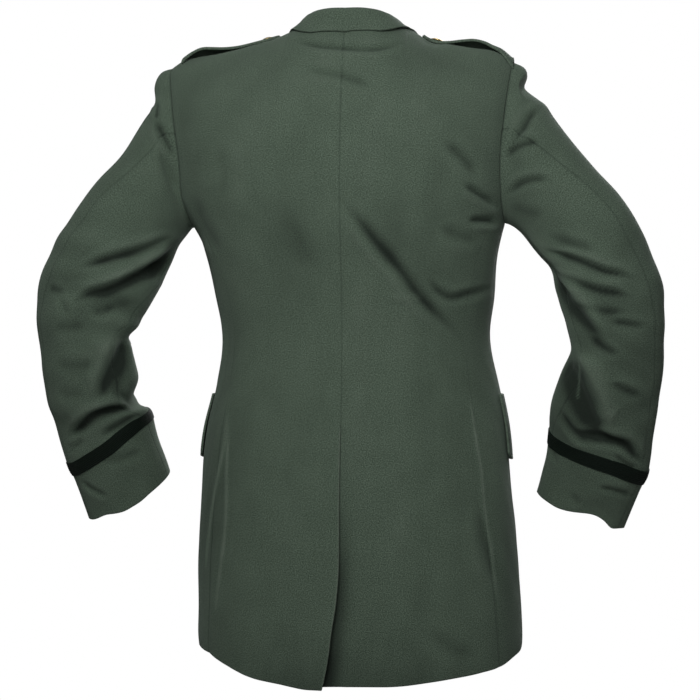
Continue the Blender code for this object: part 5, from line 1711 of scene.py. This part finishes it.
class TUNIC_OT_pocket_flaps(Operator):
    """Make the two pocket flaps, stitched near their edges"""
    bl_idname = "tunic.pocket_flaps"
    bl_label = "Pocket flaps"

    def execute(self, context):
        for side in (1, -1):
            name = f"pocket_flap_{name_of(side)}"
            obj = shell(name + "_cloth", finished(flap_form(side)), FLAP_CLOTH * 0.8, finish("tunic_serge"))
            near, far = FLAP_INSET / FLAP_WIDTH, 1 - FLAP_INSET / FLAP_WIDTH
            low = 1 - FLAP_INSET / FLAP_DEPTH
            down, across = np.linspace(0.02, low, 30), np.linspace(near, far, 60)
            t = np.concatenate([0 * down + near, across, 0 * down + far])
            v = np.concatenate([down, 0 * across + low, down[::-1]])
            line, out = surface_line(lambda a, b: flap_point(side, a, b), t, v, 0.0)
            outward = np.sign((out * (line * (1, 1, 0))).sum(-1, keepdims=True))
            stitched(obj, "pocket_flap", side, line, out * outward)
        return {"FINISHED"}


class TUNIC_OT_shoulder_loops(Operator):
    """Make the two shoulder loops, stitched near their edges"""
    bl_idname = "tunic.shoulder_loops"
    bl_label = "Shoulder loops"

    def execute(self, context):
        for side in (1, -1):
            name = f"shoulder_loop_{name_of(side)}"
            obj = shell(name + "_cloth", finished(loop_form(side)), FLAP_CLOTH, finish("tunic_serge"))
            share = np.linspace(0.05, 0.99, 70)
            w = 1 - LOOP_INSET / np.maximum(read(LOOP, "half", "share", share), 0.0120)
            share = np.concatenate([share[::-1], share])
            w = np.concatenate([-w[::-1], w])
            line, out = surface_line(lambda a, b: loop_point(side, a, b), share, w, 0.0)
            stitched(obj, "shoulder_loop", side, line, out * np.sign(out[:, 2:]))
        return {"FINISHED"}


class TUNIC_OT_buttons(Operator):
    """Make the front and shoulder buttons, and the worked buttonholes of the left front"""
    bl_idname = "tunic.buttons"
    bl_label = "Buttons and buttonholes"

    def execute(self, context):
        for side in (1, -1):
            neck_end, arm_end = LOOP_ENDS[name_of(side)]
            share = np.array((LOOP_BUTTON_X - neck_end) / (arm_end - neck_end))
            place = loop_point(side, share, 0.0, LAID_GAP)
            name = f"loop_button_{name_of(side)}"
            settle(button(name + "_brass", place, (side * 0.28, 0, 1), SMALL_BUTTON), name)
        lines = []
        turn = np.linspace(0, 2 * math.pi, 60, endpoint=False)
        for i, z in enumerate(FRONT_BUTTONS_Z):
            place = (0.0, float(skin(0.0, z, -1)) - FRONT_LIFT - LAID_GAP, z)
            name = f"front_button_{i + 1}"
            settle(button(name + "_brass", place, (0, -1, 0), FRONT_BUTTON), name)
            x = 0.0095 + 0.0125 * np.cos(turn)
            y = skin(x, z + 0 * x, -1) - overlap_lift(x, z + 0 * x) - LAID_GAP
            line = np.stack([x, y, z + 0.0016 * np.sin(turn)], -1)
            lines.append((line, np.tile((0.0, -1.0, 0.0), (len(line), 1))))
        values = thread_settings(Pitch=0.0007, Length=0.0020, Turn=math.pi / 2, Width=0.0006)
        settle_detail(along_lines("buttonhole_stitches", stitch_tree(), lines, True, values))
        return {"FINISHED"}


class TUNIC_OT_stage(Operator):
    """Make the pale floor, the soft lights, the surround and the camera"""
    bl_idname = "tunic.stage"
    bl_label = "Stage"

    def execute(self, context):
        stage = context.scene.tunic_stage
        self.add_floor(stage)
        self.add_surround(context.scene, stage)
        turn = stage.azimuth
        back = Vector((math.sin(turn), -math.cos(turn), 0))
        right = Vector((0, 0, 1)).cross(back)
        aim = Vector((0.002, 0, stage.aim_height))
        up = Vector((0, 0, 1))
        # each light's name, what it is turned to, where it stands from there, its power and its size
        lights = [
            ("key_light", aim, back * 1.75 - right * 0.35 + up * 1.10, stage.key_power, 0.8),
            ("fill_light", aim + up * 0.38, back * 1.2 + up * 0.10, stage.fill_power, 0.6),
            ("top_light", aim, -back * 0.6 + up * 2.4, stage.fill_power, 1.4),
            ("front_light", aim, -back * 2.2 + right * 0.8 + up * 0.9, stage.key_power * 2.6, 1.8),
        ]
        for light in lights:
            self.add_light(*light)
        data = bpy.data.cameras.new("camera")
        data.lens, data.sensor_width = stage.lens, 36.0
        camera = bpy.data.objects.new("camera", data)
        camera.location = aim + back * stage.distance
        camera.rotation_euler = (-back).to_track_quat("-Z", "Y").to_euler()
        context.scene.collection.objects.link(camera)
        context.scene.camera = camera
        return {"FINISHED"}

    def add_floor(self, stage):
        level = CAD_BOX[0].z - stage.floor_drop
        mesh = bmesh.new()
        bmesh.ops.create_circle(mesh, cap_ends=True, segments=96, radius=5.0)
        bmesh.ops.translate(mesh, vec=(0, 0, level), verts=mesh.verts)
        data = bpy.data.meshes.new("floor")
        mesh.to_mesh(data)
        mesh.free()
        made, tree, shader = new_material("pale_floor")
        place = node(tree, "ShaderNodeTexCoord").outputs["Object"]
        shade = tuple(0.97 * c for c in stage.floor_colour)
        tone = mix(tree, noise(tree, place, 3.0), colour4(stage.floor_colour), colour4(shade))
        tree.links.new(tone, shader.inputs["Base Color"])
        shader.inputs["Roughness"].default_value = 0.8
        seen = node(tree, "ShaderNodeLightPath").outputs["Is Camera Ray"]
        tree.links.new(tone, shader.inputs["Emission Color"])
        tree.links.new(math_node(tree, "MULTIPLY", seen, 0.7), shader.inputs["Emission Strength"])
        data.materials.append(made)
        place_object("floor", data)

    def add_surround(self, scene, stage):
        """A white surround for the eye, and a dimmer one that lights the coat."""
        world = bpy.data.worlds.new("surround")
        world.use_nodes = True
        tree = world.node_tree
        tree.nodes.clear()
        dim = node(tree, "ShaderNodeBackground", {"Color": (1, 1, 1, 1), "Strength": stage.surround})
        white = node(tree, "ShaderNodeBackground", {"Color": (1, 1, 1, 1), "Strength": 1.0})
        seen = node(tree, "ShaderNodeLightPath").outputs["Is Camera Ray"]
        both = node(tree, "ShaderNodeMixShader", {0: seen, 1: dim.outputs[0], 2: white.outputs[0]})
        node(tree, "ShaderNodeOutputWorld", {"Surface": both.outputs[0]})
        scene.world = world
        scene.view_settings.view_transform = "Standard"

    def add_light(self, name, aim, offset, power, size):
        data = bpy.data.lights.new(name, "AREA")
        data.energy, data.size, data.shape = power, size, "SQUARE"
        light = bpy.data.objects.new(name, data)
        light.location = aim + offset
        light.rotation_euler = (-offset).to_track_quat("-Z", "Y").to_euler()
        light.visible_camera = False
        bpy.context.scene.collection.objects.link(light)


BUILD_ORDER = (TUNIC_OT_torso, TUNIC_OT_sleeves, TUNIC_OT_collar, TUNIC_OT_pocket_flaps,
               TUNIC_OT_shoulder_loops, TUNIC_OT_buttons, TUNIC_OT_stage)
SETTINGS = {"tunic_cloth": TunicCloth, "tunic_trim": TunicTrim, "tunic_stage": TunicStage}


class TUNIC_PT_panel(Panel):
    """The tunic's pieces and settings"""
    bl_label = "Dress tunic"
    bl_idname = "TUNIC_PT_panel"
    bl_space_type = "VIEW_3D"
    bl_region_type = "UI"
    bl_category = "Tunic"

    def draw(self, context):
        for name in SETTINGS:
            box = self.layout.box()
            group = getattr(context.scene, name)
            for item in group.bl_rna.properties:
                if item.identifier not in ("rna_type", "name"):
                    box.prop(group, item.identifier)
        for operator in BUILD_ORDER:
            self.layout.operator(operator.bl_idname)


def register():
    for group in SETTINGS.values():
        bpy.utils.register_class(group)
    for name, group in SETTINGS.items():
        setattr(bpy.types.Scene, name, PointerProperty(type=group))
    for kind in (*BUILD_ORDER, TUNIC_PT_panel):
        bpy.utils.register_class(kind)


def unregister():
    for kind in (TUNIC_PT_panel, *reversed(BUILD_ORDER)):
        bpy.utils.unregister_class(kind)
    for name in SETTINGS:
        delattr(bpy.types.Scene, name)
    for group in reversed(SETTINGS.values()):
        bpy.utils.unregister_class(group)


def main():
    register()
    for operator in BUILD_ORDER:
        group, action = operator.bl_idname.split(".")
        getattr(getattr(bpy.ops, group), action)()
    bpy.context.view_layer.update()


if __name__ == "__main__":
    main()
